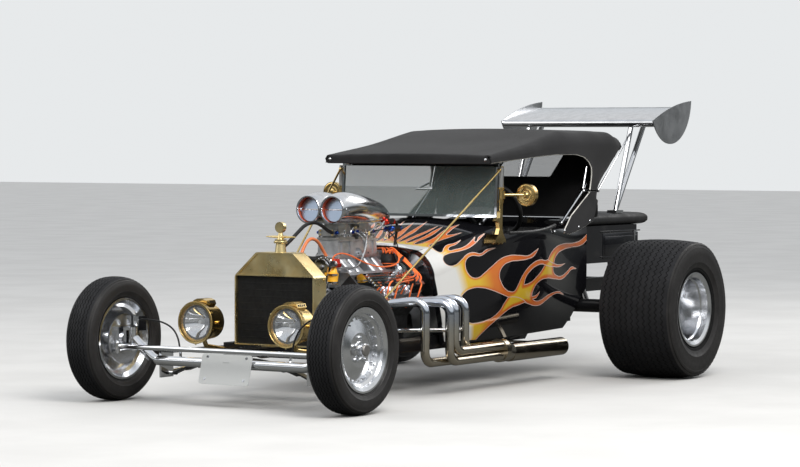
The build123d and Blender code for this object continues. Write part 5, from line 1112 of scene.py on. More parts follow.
# The other hoses: name, radius in metres, finish, and places in millimetres: setback, distance to
# the left of the middle, and height
HOSE_RUNS = (
    ("coil_lead", LEAD_RADIUS, "lead_orange", (690, 148, 704), (690, 148, 736), (740, 190, 752),
     (850, 250, 690), (1000, 262, 664), (1180, 250, 680), (1268, 180, 742), (1296, 110, 765),
     (1296, 100, 732)),
    ("heater_hose", 0.0085, "hose_orange", (484, 60, 716), (520, 60, 722), (560, 62, 790), (612, 62, 826),
     (680, 62, 812), (740, 60, 752), (800, 52, 706), (868, 46, 700)),
    ("vacuum_hose", 0.0095, "black_plastic", (450, 14, 788), (486, 22, 812), (540, 30, 852), (617, 30, 896),
     (700, 32, 906), (770, 34, 884), (812, 36, 858), (856, 36, 846)),
    ("upper_hose", 0.019, "black_plastic", (482, -60, 690), (540, -60, 696), (620, -64, 740),
     (720, -60, 716), (800, -40, 700), (872, -30, 712)),
    ("fuel_line", 0.0058, "braided_steel", (1069, 62, 846), (1072, 96, 836), (1084, 108, 800),
     (1040, 110, 716), (960, 122, 664), (884, 128, 664), (800, 130, 668), (768, 128, 664)),
    ("fuel_line_front", 0.0050, "braided_steel", (1023, 66, 846), (1036, 84, 838), (1060, 96, 812),
     (1074, 104, 780)),
    ("fuel_line_rear", 0.0055, "braided_steel", (1223, 66, 846), (1240, 92, 862), (1246, 100, 888),
     (1258, 100, 896)),
    ("return_line", 0.0075, "black_plastic", (1354, 100, 896), (1376, 100, 896), (1396, 96, 870),
     (1392, 88, 800), (1372, 84, 720), (1366, 84, 660)),
    ("throttle_cable", 0.0034, "black_plastic", (1120, 100, 842), (1180, 120, 860), (1260, 128, 850),
     (1330, 132, 800), (1362, 132, 720)),
    ("breather_hose_left", 0.0085, "black_plastic", (1190, 215, 648), (1200, 235, 690), (1260, 220, 712),
     (1330, 170, 700), (1362, 150, 690)),
)


class ENGINE(RoadsterOperator, bpy.types.Operator):
    """Add the engine's bolts, pulleys' faces, carburettor linkage and fittings"""

    bl_idname = "roadster.engine"
    bl_label = "Engine trim"

    def execute(self, context):
        self.bolts()
        self.front()
        self.carburettors()
        self.small_parts()
        return {"FINISHED"}

    def bolts(self):
        """Bolts of the valve covers, manifold and plenum, and the spark plugs."""
        bm = bmesh.new()
        for side in (1, -1):
            cover_up = Vector((0, side * LEG, LEG))
            cover_out = Vector((0, side * LEG, -LEG))
            for station in COVER_BOLTS:
                hex_bolt(bm, bank(325, 66, side, station) + cover_up * 0.012, cover_up, 0.006, 0.012)
                slab(bm, bank(331, 61, side, station), (0.026, 0.010, 0.010),
                     cover_up.to_track_quat("Z", "X").to_matrix(), 0.002)
            for station in PLUG_STATIONS:
                foot = bank(298, 86, side, station)
                rod(bm, foot, foot + cover_out * 0.012, 0.012, steps=6)
                rod(bm, foot + cover_out * 0.010, foot + cover_out * 0.026, 0.0075, 0.006, 14, 1)
            for station in (852, 941, 1053, 1166, 1270):
                hex_bolt(bm, at(station, side * 126, 606), (0, side * 0.25, 1), 0.007, 0.012)
        for station in (880, 960, 1053, 1146, 1232):
            for side in (1, -1):
                hex_bolt(bm, at(station, side * 71, 730), UP, 0.0055, 0.009)
        settle("engine_bolts", bm, ("chrome", "gauge_white"))

    def front(self):
        """Faces of the pulleys and the ribbed front of the alternator."""
        bm = bmesh.new()
        for centre, radius, count in ((at(700, 0, CRANK_UP), 0.050, 6), (at(704, 0, 492), 0.034, 4)):
            lathe(bm, [(0.0, 0.0), (0.0, radius * 0.42), (-0.004, radius * 0.46), (-0.004, 0.0)],
                  centre + AHEAD * 0.006, AHEAD, 32)
            for foot in ring_points(count, centre, AHEAD, radius):
                hex_bolt(bm, foot, AHEAD, 0.0065, 0.009)
        alternator = at(734, 62, 672)
        for foot in ring_points(20, alternator, AHEAD, 0.046):
            away = (foot - alternator).normalized()
            slab(bm, foot, (0.010, 0.0035, 0.016), away.to_track_quat("Z", "X").to_matrix(), 0.0008)
        hex_bolt(bm, alternator + AHEAD * 0.034, AHEAD, 0.010, 0.012)
        for foot in ring_points(3, alternator + AHEAD * 0.004, AHEAD, 0.053, 0.5):
            rod(bm, foot, foot - AHEAD * 0.088, 0.0042, steps=10)
        settle("front_pulley_faces", bm, ("polished_alloy",))

    def carburettors(self):
        """Screws and fuel fittings on the bowls, throttle levers, rods and the bell crank."""
        bm = bmesh.new()
        for station in CARB_STATIONS:
            for end in (1, -1):
                for side in (1, -1):
                    for up in (836, 856):
                        foot = at(station - end * 92, side * 38, up)
                        hex_bolt(bm, foot, AHEAD * end, 0.0042, 0.006, 3)
                    for near, far, radius, steps in ((49, 60, 0.010, 6), (58, 66, 0.007, 12)):
                        rod(bm, at(station - end * 77, side * near, 846),
                            at(station - end * 77, side * far, 846), radius, steps=steps, material=1)
                    hex_bolt(bm, at(station - end * 74, side * 54, 820), UP, 0.0058, 0.008)
            for side in (1, -1):
                for end in (1, -1):
                    lever = at(station + end * 24, side * 74, 832)
                    rod(bm, lever - ACROSS * 0.004, lever + ACROSS * 0.004, 0.010, steps=20)
                    tip = lever + Vector((-end * 0.006, 0, 0.026))
                    slab(bm, (lever + tip) / 2, (0.010, 0.003, 0.032), None, 0.0008)
        # two rods from the levers meet at a bell crank between the carburettors
        crank = at(1105, 96, 838)
        for setback, up, lever_end in ((985, 872, 970), (1208, 884, 1222)):
            rod(bm, at(setback, 96, up), crank, 0.0032, steps=10)
            rod(bm, at(setback, 90, up), at(setback, 102, up), 0.0065, steps=16, material=3)
            rod(bm, at(setback, 84, up), at(lever_end, 72, 836), 0.0030, steps=8)
        rod(bm, crank - ACROSS * 0.008, crank + ACROSS * 0.008, 0.011, steps=20)
        slab(bm, at(1105, 90, 812), (0.016, 0.004, 0.052), None, 0.001)
        slab(bm, at(1105, 78, 788), (0.022, 0.026, 0.004), None, 0.001)
        settle("carburettor_linkage", bm, ("chrome", "fitting_blue", "fitting_red", "pale_brass"))

    def small_parts(self):
        """Fuel filters, pressure regulator, coil top, breather and filler caps, distributor's band."""
        bm = bmesh.new()
        for front, rear, up, end_material in ((1256, 1356, 896, 1), (1312, 1424, 858, 2)):
            start, stop = at(front, 100, up), at(rear, 100, up)
            barrel = (rear - front) / 1000 - 0.024
            lathe(bm, [(0.0, 0.0), (0.0, 0.010), (0.010, 0.012), (0.014, 0.0172), (0.028, 0.0172)], start,
                  -AHEAD, 28, end_material)
            lathe(bm, [(0.027, 0.0), (0.027, 0.0165), (barrel, 0.0165), (barrel, 0.0)], start, -AHEAD, 28)
            lathe(bm, [(0.0, 0.0), (0.0, 0.010), (0.008, 0.012), (0.012, 0.0172), (0.025, 0.0172)], stop,
                  AHEAD, 28, end_material)
        # bracket of the filters
        slab(bm, at(1320, 76, 838), (0.060, 0.004, 0.070), None, 0.001, 4)
        slab(bm, at(1316, 86, 878), (0.030, 0.030, 0.004), None, 0.001, 4)
        # regulator with its gauge, beside the alternator
        lathe(bm, [(0.0, 0.0), (0.0, 0.022), (0.010, 0.025), (0.018, 0.025), (0.022, 0.020), (0.044, 0.016),
                   (0.046, 0.0)], at(760, 128, 672), UP, 28, 1)
        rod(bm, at(760, 128, 640), at(760, 128, 674), 0.009, steps=6, material=4)
        lathe(bm, [(0.0, 0.0), (0.0, 0.016), (0.010, 0.018), (0.014, 0.016), (0.014, 0.0)], at(742, 130, 690),
              AHEAD, 28, 4)
        lathe(bm, [(0.0145, 0.0), (0.0145, 0.0138), (0.0155, 0.0)], at(742, 130, 690), AHEAD, 28, 5)
        # coil: black cap with its terminal, and bright clamp rings
        lathe(bm, [(0.090, 0.0), (0.090, 0.0262), (0.096, 0.024), (0.102, 0.013), (0.118, 0.011),
                   (0.118, 0.0)], at(690, 148, 590), UP, 28)
        for up in (0.0, 0.040):
            lathe(bm, [(up, 0.0265), (up, 0.0285), (up + 0.010, 0.0285), (up + 0.010, 0.0265), (up, 0.0265)],
                  at(690, 148, 592), UP, 32, 4)
        # breather cap on the left cover, filler cap on the right one
        for side, station in ((1, 1150), (-1, 900)):
            lathe(bm, [(-0.004, 0.0), (-0.004, 0.020), (0.020, 0.020), (0.022, 0.031), (0.040, 0.033),
                       (0.048, 0.026), (0.050, 0.0)], bank(388, -34, side, station),
                  Vector((0, side * LEG, LEG)), 36, 4)
        # orange band between the distributor's cap and body
        lathe(bm, [(0.0, 0.030), (0.0, 0.0432), (0.004, 0.0432), (0.004, 0.030), (0.0, 0.030)],
              at(1296, 100, 672), UP, 32, 3)
        settle("engine_fittings", bm, ("black_plastic", "fitting_red", "fitting_blue", "lead_orange",
                                       "chrome", "gauge_white"))


class HOSES(RoadsterOperator, bpy.types.Operator):
    """Lead the plug wires, fuel lines and hoses over the engine"""

    bl_idname = "roadster.hoses"
    bl_label = "Leads and hoses"

    def execute(self, context):
        cap = at(1296, 100, 726)
        towers = ring_points(8, cap, UP, 0.026, 0.2)
        for side, name in SIDES:
            feet = sorted(towers, key=lambda place: place.y, reverse=side > 0)[:4]
            for index, (foot, (station, out, up)) in enumerate(zip(feet, LEAD_RUNS)):
                plug = bank(298, 110, side, station)
                rise = foot + Vector((0, side * 0.004, 0.030))
                reach = 1268 + 14 * index
                if side > 0:
                    over = [at(reach, 158 + 10 * index, 734 - 6 * index), at(reach - 8, 250, 672 - 5 * index)]
                else:
                    over = [at(reach + 30, 40, 752), at(reach + 34, -90, 744 - 5 * index),
                            at(reach + 6, -200, 700 - 5 * index), at(reach - 8, -262, 668 - 5 * index)]
                run = [at(reach - 24, side * (out - 8), up + 34), at(reach - 70, side * (out + 4), up + 10)]
                middle = [at(station + 90, side * (out + 2), up + 3)] if station < 1100 else []
                drop = [at(station + 30, side * (out + 6), up), at(station + 4, side * (out + 8), up - 34),
                        bank(298, 138, side, station)]
                points = [foot, rise] + over + run + middle + drop + [plug]
                hose(f"plug_lead_{name}_{index + 1}", points, LEAD_RADIUS, "lead_orange")
        for name, radius, material, *places in HOSE_RUNS:
            hose(name, [at(*place) for place in places], radius, material)
        self.clips()
        return {"FINISHED"}

    def clips(self):
        """Lead holders on the covers, boots on the plugs and clamps on the hoses."""
        bm = bmesh.new()
        for side in (1, -1):
            for station in (1000, 1190):
                slab(bm, at(station, side * 322, 586), (0.010, 0.036, 0.036), None, 0.003)
            for station in PLUG_STATIONS:
                rod(bm, bank(298, 104, side, station), bank(298, 132, side, station), 0.0085, 0.0062, 16, 1)
        for place, way, radius in ((at(488, -60, 690), AHEAD, 0.021), (at(862, -32, 710), AHEAD, 0.021),
                                   (at(490, 60, 716), AHEAD, 0.0105)):
            lathe(bm, [(0.0, radius - 0.003), (0.0, radius), (0.010, radius), (0.010, radius - 0.003),
                       (0.0, radius - 0.003)], place, -way, 28, 2)
        settle("lead_clips", bm, ("black_plastic", "lead_orange", "chrome"))


class SCOOP(RoadsterOperator, bpy.types.Operator):
    """Line the scoop's inlets in red and hang the plain butterfly discs in them"""

    bl_idname = "roadster.scoop"
    bl_label = "Scoop inlets"

    tilt: FloatProperty(name="Butterfly tilt", description="How far the discs lean open",
                        default=math.radians(9.0), subtype="ANGLE")

    def execute(self, context):
        bm = bmesh.new()
        lean = Vector((math.cos(self.tilt), 0, math.sin(self.tilt)))
        for side in (1, -1):
            lathe(bm, [(0.0, 0.0676), (0.0, 0.0664), (0.190, 0.0664), (0.192, 0.0), (0.194, 0.0),
                       (0.194, 0.0676), (0.0, 0.0676)], at(798, side * 75, 967), -AHEAD, 56)
            centre = at(826, side * 75, 967)
            lathe(bm, [(-0.0016, 0.0), (-0.0016, 0.062), (0.0, 0.0636), (0.0016, 0.062), (0.0016, 0.0)],
                  centre, lean, 56, 1)
            lathe(bm, [(-0.004, 0.0655), (-0.004, 0.0705), (0.003, 0.0735), (0.005, 0.0720), (0.005, 0.0655),
                       (-0.004, 0.0655)], at(796, side * 75, 967), AHEAD, 64, 2)
            for sideways in (-0.030, 0.0, 0.030):
                hex_bolt(bm, centre + lean * 0.004 + ACROSS * sideways, lean, 0.0036, 0.003, 2)
        rod(bm, at(826, -146, 967), at(826, 146, 967), 0.0042, steps=14, material=2)
        for side in (1, -1):
            rod(bm, at(826, side * 138, 967), at(826, side * 152, 967), 0.011, steps=24, material=2)
            slab(bm, at(840, side * 150, 958), (0.036, 0.004, 0.012),
                 Quaternion(ACROSS, math.radians(30)).to_matrix(), 0.001, 2)
        for station in (880, 1000, 1120, 1240):
            for side in (1, -1):
                dome(bm, at(station, side * 84, 899), UP, 0.006, 0.004, 12, 2)
        settle("scoop_inlets", bm, ("inlet_red", "butterfly", "chrome"))
        return {"FINISHED"}


# Where the cloth top is carried: setbacks of the header and the bows. Millimetres.
TOP_HELD = (1640, 2470, 2813, 3030, 3140)
# Snaps of one side: what they sit on, setback and height
TOP_SNAPS = [("soft_top", 2450, 826), ("soft_top", 2614, 842), ("soft_top", 2746, 875),
             ("body_tub", 2384, 822)]
# White piping lies along the side openings, between these setbacks
PIPING_FROM, PIPING_TO = 1655, 2836
# Spacing of the cuts that let the cloth sag, and where the first cut lies. Metres.
CLOTH_CUT = 0.024
FIRST_CUT = 0.003
# The creases fan out from the rear quarter: setback and height in millimetres, then metres
CREASE_FROM = (2790, 1120)
CREASE_REACH = 0.22
CREASE_DEPTH = 0.0016


class CANOPY(RoadsterOperator, bpy.types.Operator):
    """Stretch the cloth top over its bows, with its hem, piping, snaps and rear window"""

    bl_idname = "roadster.canopy"
    bl_label = "Cloth top"

    sag: FloatProperty(name="Sag", description="How far the cloth sinks between the bows", default=0.009,
                       min=0.0, max=0.03, unit="LENGTH")
    thick: FloatProperty(name="Cloth", description="Thickness of the cloth", default=0.003, unit="LENGTH")

    def execute(self, context):
        bm = self.outer_side()
        for axis, low, high in ((AHEAD, -1.40, 0.26), (ACROSS, -0.56, 0.56), (UP, 0.80, 1.42)):
            cut_across(bm, axis, low + FIRST_CUT, high + FIRST_CUT, CLOTH_CUT)
        bmesh.ops.remove_doubles(bm, verts=bm.verts, dist=0.0005)
        inside = [v for v in bm.verts if not v.is_boundary]
        for _ in range(6):
            bmesh.ops.smooth_vert(bm, verts=inside, factor=0.5, use_axis_x=True, use_axis_y=True,
                                  use_axis_z=True)
        bm.normal_update()
        moves = [(v, v.normal * self.sink(v)) for v in bm.verts]
        for vert, move in moves:
            vert.co += move
        hems = self.rims(bm)
        bmesh.ops.solidify(bm, geom=bm.faces[:], thickness=-self.thick)
        bmesh.ops.recalc_face_normals(bm, faces=bm.faces)
        top = settle("cloth_top", bm, ("top_cloth",), crease=50.0)
        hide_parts("soft_top")
        self.piping(hems)
        self.snaps()
        self.rear_window()
        return {"FINISHED"}

    def outer_side(self):
        """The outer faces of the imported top: thin through, and turned away from its middle."""
        bm = bmesh.new()
        bm.from_mesh(NODES["soft_top"].data)
        bmesh.ops.remove_doubles(bm, verts=bm.verts, dist=1e-5)
        bm.normal_update()
        tree = BVHTree.FromBMesh(bm)
        middle = at(2300, 0, 1000)
        inner = []
        for face in bm.faces:
            centre = face.calc_center_median()
            through = tree.ray_cast(centre - face.normal * 0.0003, -face.normal, 0.04)[3]
            if through is None or (centre - middle).dot(face.normal) < 0:
                inner.append(face)
        bmesh.ops.delete(bm, geom=inner, context="FACES")
        return bm

    def sink(self, vert):
        """How far a point of the cloth moves along its normal: sag between bows and slight creases."""
        setback = setback_of(vert.co)
        move = 0.0
        for low, high in zip(TOP_HELD, TOP_HELD[1:]):
            if low <= setback <= high and vert.co.z > 1.15:
                share = math.sin(math.pi * (setback - low) / (high - low)) ** 2
                flat = max(0.0, vert.normal.z)
                move -= self.sag * share * flat * (1.0 if high - low > 400 else 0.45)
        away = math.hypot(setback - CREASE_FROM[0], vert.co.z * 1000 - CREASE_FROM[1]) / 1000
        if abs(vert.co.y) > 0.40 and not vert.is_boundary:
            fold = math.sin(26.0 * (vert.co.z + 0.75 * vert.co.x) + 4.0)
            move += CREASE_DEPTH * (fold * math.exp(-((away / CREASE_REACH) ** 2)) - 0.5)
        return move

    def rims(self, bm):
        """The cloth's open edges as rows of points."""
        rows = []
        open_edges = {e for e in bm.edges if e.is_boundary}
        while open_edges:
            edge = min(open_edges, key=lambda e: e.index)
            open_edges.remove(edge)
            row = [edge.verts[0], edge.verts[1]]
            while True:
                onward = [e for e in row[-1].link_edges if e in open_edges]
                if not onward:
                    break
                open_edges.remove(onward[0])
                row.append(onward[0].other_vert(row[-1]))
            rows.append([(v.co - v.normal * self.thick / 2).copy() for v in row])
        return rows

    def piping(self, rows):
        """White cord round the side openings and black binding along the front and back hems."""
        for index, row in enumerate(rows):
            pieces, last = [], None
            for place in row:
                kind = abs(place.y) > 0.44 and PIPING_FROM < setback_of(place) < PIPING_TO
                if kind != last:
                    pieces.append((kind, [pieces[-1][1][-1]] if pieces else []))
                    last = kind
                pieces[-1][1].append(place)
            for number, (white, points) in enumerate(pieces):
                if len(points) > 6:
                    hose(f"top_hem_{index + 1}_{number + 1}", points[::2] + points[-1:],
                         0.0036 if white else 0.0042, "white_piping" if white else "top_cloth",
                         resolution=3, steps=2)

    def snaps(self):
        """Snaps that hold the top to the body and to the windscreen's header."""
        bm = bmesh.new()
        skins = {name: Skin(name) for name in ("soft_top", "body_tub")}
        for side in (1, -1):
            for name, setback, up in TOP_SNAPS:
                met = skins[name].meet(at(setback, side * 700, up), ACROSS * -side, 0.5)
                if met:
                    dome(bm, met[0], ACROSS * side, 0.0085, 0.006, 16)
            dome(bm, at(1639, side * 500, 1226), AHEAD, 0.0085, 0.006, 16)
        settle("top_snaps", bm, ("chrome",))

    def rear_window(self):
        """A thin pane on the top's sloping back."""
        bm = bmesh.new()
        slope = (at(3140, 0, 1300) - at(2868, 0, 1085)).normalized()
        out = ACROSS.cross(slope).normalized()
        out = out if out.x < 0 else -out
        turn = Matrix((out, ACROSS, out.cross(ACROSS))).transposed()
        centre = at(2868 + 100 * 272 / 215, 0, 1185) - out * 0.004
        slab(bm, centre, (0.0012, 0.400, 0.228), turn)
        settle("rear_window", bm, ("screen_glass",))


# Padded pieces: node, finish, voxel and greatest swelling in metres, how full, name and slot
PADDED = (("tonneau_cover", "cover_vinyl", 0.011, 0.008, 0.7, "padded_cover", "vinyl"),
          ("seat_cushion", "seat_vinyl", 0.010, 0.012, 0.7, "padded_seat", "vinyl"),
          ("seat_back", "seat_vinyl", 0.010, 0.010, 0.6, "padded_back", "vinyl"))
INFLATE_FRAMES = 20
# Seams in metres: how deep, how wide, and how far inside the cover's edge. The seat has so many pads.
SEAT_PADS = 8
SEAT_SEAM = (0.007, 0.008)
COVER_SEAM = (0.005, 0.006, 0.075)


class PADS(RoadsterOperator, bpy.types.Operator):
    """Stuff the seat and the bed's cover: inflated by simulation, then sewn"""

    bl_idname = "roadster.pads"
    bl_label = "Padded pieces"

    def execute(self, context):
        for row in PADDED:
            self.pad(context, *row)
        return {"FINISHED"}

    def pad(self, context, node, material, voxel, cap, fill, name, slot):
        """Draw a solid in, swell it as cloth under pressure by at most the cap, and sew its channels."""
        mesh = NODES[node].data.copy()
        mesh.name = name
        piece = bpy.data.objects.new(name, mesh)
        context.scene.collection.objects.link(piece)
        low, high = corners(mesh)
        middle, half = (low + high) / 2, (high - low) / 2
        for vert in mesh.vertices:
            for i in range(3):
                vert.co[i] = middle[i] + (vert.co[i] - middle[i]) * (1 - 0.55 * cap / half[i])
        self.alter(context, piece, "REMESH", mode="VOXEL", voxel_size=voxel)
        self.inflate(context, piece, cap)
        self.alter(context, piece, "SUBSURF", levels=1, render_levels=1)
        mesh = piece.data
        for polygon in mesh.polygons:
            polygon.use_smooth = True
        for vert in mesh.vertices:
            for i in range(3):
                vert.co[i] = min(high[i] + 0.004, max(low[i] + (0.0 if i == 2 else -0.004), vert.co[i]))
            self.channel(vert, node, low, high)
        mesh.materials.clear()
        mesh.materials.append(finish(material))
        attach(piece, "body")
        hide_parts(node)

    def alter(self, context, piece, kind, **values):
        """Add a modifier and bake it into the mesh."""
        change = piece.modifiers.new(kind.lower(), kind)
        for key, value in values.items():
            setattr(change, key, value)
        self.bake(context, piece)

    def bake(self, context, piece):
        view = context.evaluated_depsgraph_get()
        baked = bpy.data.meshes.new_from_object(piece.evaluated_get(view))
        piece.modifiers.clear()
        piece.data = baked

    def inflate(self, context, piece, cap):
        """Swell a piece by a cloth simulation and hold every point within the cap."""
        before = [v.co.copy() for v in piece.data.vertices]
        change = piece.modifiers.new("cloth", "CLOTH")
        settings = change.settings
        settings.quality = 5
        settings.mass = 0.3
        settings.use_pressure = True
        settings.uniform_pressure_force = 4.0
        settings.effector_weights.gravity = 0.0
        change.collision_settings.use_collision = False
        change.point_cache.frame_start = 1
        change.point_cache.frame_end = INFLATE_FRAMES
        for number in range(1, INFLATE_FRAMES + 1):
            context.scene.frame_set(number)
        self.bake(context, piece)
        for vert, old in zip(piece.data.vertices, before):
            move = vert.co - old
            if move.length > cap:
                vert.co = old + move * (cap / move.length)
        context.scene.frame_set(1)

    def channel(self, vert, node, low, high):
        """Sewn channels: across the seat's pads, and a line inside the cover's rolled edge."""
        if node == "tonneau_cover":
            inset = min(vert.co.x - low.x, high.x - vert.co.x, vert.co.y - low.y, high.y - vert.co.y)
            deep, wide, inside = COVER_SEAM
            if vert.co.z > (low.z + high.z) / 2:
                vert.co.z -= deep * math.exp(-(((inset - inside) / wide) ** 2))
        else:
            deep, wide = SEAT_SEAM
            pitch = (high.y - low.y) / SEAT_PADS
            channel = (vert.co.y - low.y) / pitch
            near = abs(channel - round(channel)) * pitch
            depth = deep * math.exp(-((near / wide) ** 2))
            if 0.5 < channel < SEAT_PADS - 0.5:
                if node == "seat_cushion" and vert.co.z > high.z - 0.06:
                    vert.co.z -= depth
                if node == "seat_back" and vert.co.x > (low.x + high.x) / 2 and vert.co.z > low.z + 0.05:
                    vert.co.x -= depth


# The number plate's lean, in degrees
PLATE_LEAN = 15


class LAMPS(RoadsterOperator, bpy.types.Operator):
    """Fit the lamps' reflectors and vents, the radiator's fins, the plate's bolts and the mirror glasses"""

    bl_idname = "roadster.lamps"
    bl_label = "Lamps and front fittings"

    def execute(self, context):
        self.lamps()
        self.radiator()
        self.brightwork()
        return {"FINISHED"}

    def lamps(self):
        """Reflectors, bulbs, rims, vents and fittings of both head lamps."""
        bm = bmesh.new()
        for side in (1, -1):
            face = at(79.5, side * 276.5, 407.5)
            lathe(bm, [(-0.0160, 0.0860), (-0.030, 0.0725), (-0.045, 0.0575), (-0.058, 0.0420),
                       (-0.067, 0.0270), (-0.071, 0.0130), (-0.072, 0.0), (-0.073, 0.0), (-0.072, 0.0135),
                       (-0.068, 0.0278), (-0.059, 0.0430), (-0.046, 0.0585), (-0.031, 0.0735),
                       (-0.0165, 0.0870), (-0.0160, 0.0860)], face, AHEAD, 64)
            lathe(bm, [(-0.0155, 0.077), (-0.0150, 0.077), (-0.0150, 0.0880), (-0.0155, 0.0880),
                       (-0.0155, 0.077)], face, AHEAD, 64, 1)
            lathe(bm, [(-0.071, 0.0), (-0.071, 0.012), (-0.060, 0.012), (-0.058, 0.010), (-0.050, 0.012),
                       (-0.042, 0.009), (-0.038, 0.0)], face, AHEAD, 28, 2)
            lathe(bm, [(-0.002, 0.1010), (0.0015, 0.1025), (0.0015, 0.1055), (-0.002, 0.1070),
                       (-0.002, 0.1010)], face, AHEAD, 72, 3)
            for foot in ring_points(3, face - AHEAD * 0.008, AHEAD, 0.1075, 0.5):
                away = (foot - face + AHEAD * 0.008).normalized()
                hex_bolt(bm, foot, away, 0.0045, 0.006, 3)
            for edge in (1, -1):
                lean = Quaternion(AHEAD, edge * math.atan2(8, 18)).to_matrix()
                for step in range(4):
                    slab(bm, face + Vector((-0.052 - 0.017 * step, edge * 0.0422, 0.1012)),
                         (0.0095, 0.0020, 0.012), lean, 0.0, 1)
            rod(bm, face + Vector((-0.078, side * 0.100, 0.0)), face + Vector((-0.078, side * 0.112, 0.0)),
                0.010, 0.007, 20, 3)
            rod(bm, face + Vector((-0.18, 0, -0.02)), face + Vector((-0.184, 0, -0.02)), 0.012, 0.008, 20, 3)
        settle("lamp_fittings", bm, ("chrome", "black_plastic", "lens_white", "pale_brass"))

    def radiator(self):
        """Fins and tubes on the core's face, and the shell's neck ring, dial and side bolts."""
        low, high = corners(NODES["radiator_core"].data)
        margin, fins, tubes = 0.006, 72, 9
        wide, tall = high.y - low.y - 2 * margin, high.z - low.z - 2 * margin
        bm = bmesh.new()
        for step in range(fins):
            y = low.y + margin + wide * step / (fins - 1)
            slab(bm, Vector((high.x, y, (low.z + high.z) / 2)), (0.004, 0.0011, tall))
        for step in range(tubes):
            z = low.z + (high.z - low.z) * (step + 1) / (tubes + 1)
            slab(bm, Vector((high.x + 0.0016, 0, z)), (0.0010, wide, 0.0022))
        settle("radiator_fins", bm, ("core_black",))
        bm = bmesh.new()
        cap = at(436, 0, 803)
        lathe(bm, [(0.0, 0.030), (0.0, 0.034), (0.006, 0.036), (0.012, 0.034), (0.012, 0.028), (0.0, 0.028),
                   (0.0, 0.030)], cap, UP, 40)
        dial = at(436, 0, 884)
        for way in (1, -1):
            lathe(bm, [(0.0055, 0.0255), (0.0085, 0.0275), (0.0085, 0.0245), (0.0055, 0.0235),
                       (0.0055, 0.0255)], dial, AHEAD * way, 40)
            lathe(bm, [(0.0050, 0.0), (0.0056, 0.0236), (0.0062, 0.0236), (0.0062, 0.0), (0.0050, 0.0)], dial,
                  AHEAD * way, 40, 1)
        for side in (1, -1):
            for up in (0.300, 0.470, 0.620):
                hex_bolt(bm, Vector((aft(470), side * 0.2455, up)), ACROSS * side, 0.0055, 0.005)
        settle("radiator_fittings", bm, ("pale_brass", "core_black"))

    def brightwork(self):
        """Bolts of the plate, glasses and backs of the mirrors, and sleeves on the windscreen's posts."""
        bm = bmesh.new()
        plate = NODES["number_plate"].data
        middle = sum((v.co for v in plate.vertices), Vector()) / len(plate.vertices)
        lean = math.radians(PLATE_LEAN)
        out, up = Vector((math.cos(lean), 0, math.sin(lean))), Vector((-math.sin(lean), 0, math.cos(lean)))
        for side in (1, -1):
            for end in (1, -1):
                foot = middle + ACROSS * (side * 0.118) + up * (end * 0.056) + out * 0.0012
                hex_bolt(bm, foot, out, 0.006, 0.004)
        for side in (1, -1):
            dish = at(1868, side * 628, 1036)
            lathe(bm, [(0.0138, 0.0), (0.0146, 0.0535), (0.0136, 0.0550), (0.0130, 0.0550), (0.0130, 0.0)],
                  dish, -AHEAD, 56)
            lathe(bm, [(0.0135, 0.0), (0.0240, 0.0), (0.0240, 0.009), (0.0200, 0.012), (0.0165, 0.018),
                       (0.0150, 0.026), (0.0170, 0.030), (0.0150, 0.034), (0.0135, 0.036)],
                  dish, AHEAD, 56, 1)
            lathe(bm, [(0.0100, 0.0480), (0.0160, 0.0510), (0.0150, 0.0560), (0.0080, 0.0590),
                       (0.0080, 0.0480), (0.0100, 0.0480)], dish, AHEAD, 56, 1)
            foot, head = at(1766, side * 518, 800), at(1783, side * 518, 1190)
            for low, high, radius, material in ((0.70, 0.985, 0.0121, 2), (0.68, 0.71, 0.0150, 1),
                                                (0.50, 0.53, 0.0150, 1)):
                rod(bm, foot.lerp(head, low), foot.lerp(head, high), radius, steps=28, material=material)
        settle("brightwork", bm, ("chrome", "brass", "steel_grey"))


# The front brake hose's line on one side: setback, distance from the middle, height, and how much
# higher it lies on the left, where it passes over the drag link
BRAKE_HOSE = [(18, 606, 398, 0), (24, 590, 412, 10), (32, 556, 418, 34), (40, 467, 411, 46),
              (40, 392, 383, 24), (40, 354, 334, 6), (40, 341, 269, 0), (36, 335, 238, 0)]


class BRAKES(RoadsterOperator, bpy.types.Operator):
    """Loop the front brake hoses from the knuckles to the axle"""

    bl_idname = "roadster.brakes"
    bl_label = "Brake hoses"

    def execute(self, context):
        for side, name in SIDES:
            points = [at(setback, side * out, up + (rise if side > 0 else 0))
                      for setback, out, up, rise in BRAKE_HOSE]
            curve = hose(f"brake_line_{name}", points, 0.0045, "black_plastic")
            mesh = bpy.data.meshes.new_from_object(curve)
            bpy.data.objects.remove(curve)
            bm = bmesh.new()
            bm.from_mesh(mesh)
            bpy.data.meshes.remove(mesh)
            for index, end in ((0, 1), (-1, -2)):
                way = (points[end] - points[index]).normalized()
                rod(bm, points[index] - way * 0.006, points[index] + way * 0.020, 0.0068, steps=6,
                    material=1)
            rod(bm, points[0] - AHEAD * 0.008 - UP * 0.012, points[0] + UP * 0.004, 0.0085, steps=18,
                material=1)
            line = settle(f"brake_hose_{name}", bm, ("black_plastic", "chrome"), body=None)
            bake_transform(line)
        return {"FINISHED"}


# The padded roll on the cockpit's side edge: setback and height
ROLL = [(1880, 826), (2000, 827), (2100, 829), (2220, 837), (2344, 849), (2420, 856)]


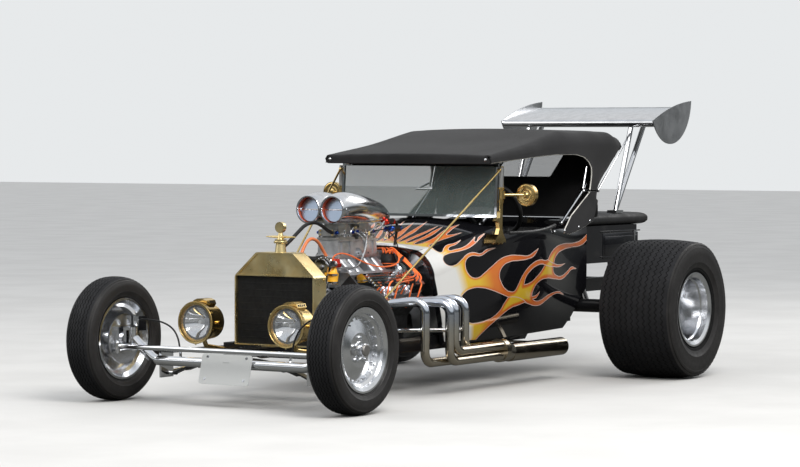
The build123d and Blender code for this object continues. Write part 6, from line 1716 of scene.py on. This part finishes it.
class TRIM(RoadsterOperator, bpy.types.Operator):
    """Add the cockpit's edge roll and the bed's panels and hinges"""

    bl_idname = "roadster.trim"
    bl_label = "Body trim"

    def execute(self, context):
        tub = Skin("body_tub")
        for side, name in SIDES:
            points = []
            for setback, up in ROLL:
                met = tub.meet(at(setback, side * 800, up - 14), ACROSS * -side, 0.6)
                if met:
                    points.append(Vector((aft(setback), met[0].y - side * 0.006, up / 1000 + 0.001)))
            if len(points) > 2:
                hose(f"edge_roll_{name}", points, 0.0105, "seat_vinyl")
        bm = bmesh.new()
        for side in (1, -1):
            middle = at(3372, side * 405.4, 716)
            slab(bm, middle, (0.44, 0.005, 0.150), None, 0.002)
            slab(bm, middle + Vector((0, side * 0.003, 0)), (0.40, 0.004, 0.110), None, 0.0015)
            for up in (800, 652):
                slab(bm, at(3372, side * 405.8, up), (0.50, 0.005, 0.008), None, 0.002)
            slab(bm, at(3556, side * 407, 772), (0.030, 0.006, 0.050), None, 0.0015, 1)
            rod(bm, at(3542, side * 410, 742), at(3542, side * 410, 802), 0.0048, steps=16, material=1)
        settle("bed_panels", bm, ("black_paint", "chrome"))
        return {"FINISHED"}


STEPS = (CAMERA, STAGE, FINISHES, FLAMES, TYRES, WHEELS, ENGINE, HOSES, SCOOP, CANOPY, PADS, LAMPS,
         BRAKES, TRIM)
GROUPS = (("roadster_paint", PaintSettings), ("roadster_stage", StageSettings))


class ROADSTER_PT_panel(bpy.types.Panel):
    """Lists the steps that build the car"""

    bl_idname = "ROADSTER_PT_panel"
    bl_label = "Street Rod Roadster"
    bl_space_type = "VIEW_3D"
    bl_region_type = "UI"
    bl_category = "Roadster"

    def draw(self, context):
        layout = self.layout
        for name, group in GROUPS:
            box = layout.box()
            for key in group.__annotations__:
                box.prop(getattr(context.scene, name), key)
        for step in STEPS:
            layout.operator(step.bl_idname)


def register():
    for name, group in GROUPS:
        bpy.utils.register_class(group)
        setattr(bpy.types.Scene, name, PointerProperty(type=group))
    for step in STEPS:
        bpy.utils.register_class(step)
    bpy.utils.register_class(ROADSTER_PT_panel)


def unregister():
    bpy.utils.unregister_class(ROADSTER_PT_panel)
    for step in reversed(STEPS):
        bpy.utils.unregister_class(step)
    for name, group in reversed(GROUPS):
        delattr(bpy.types.Scene, name)
        bpy.utils.unregister_class(group)


def main():
    register()
    for step in STEPS:
        family, call = step.bl_idname.split(".")
        getattr(getattr(bpy.ops, family), call)()


if __name__ == "__main__":
    main()
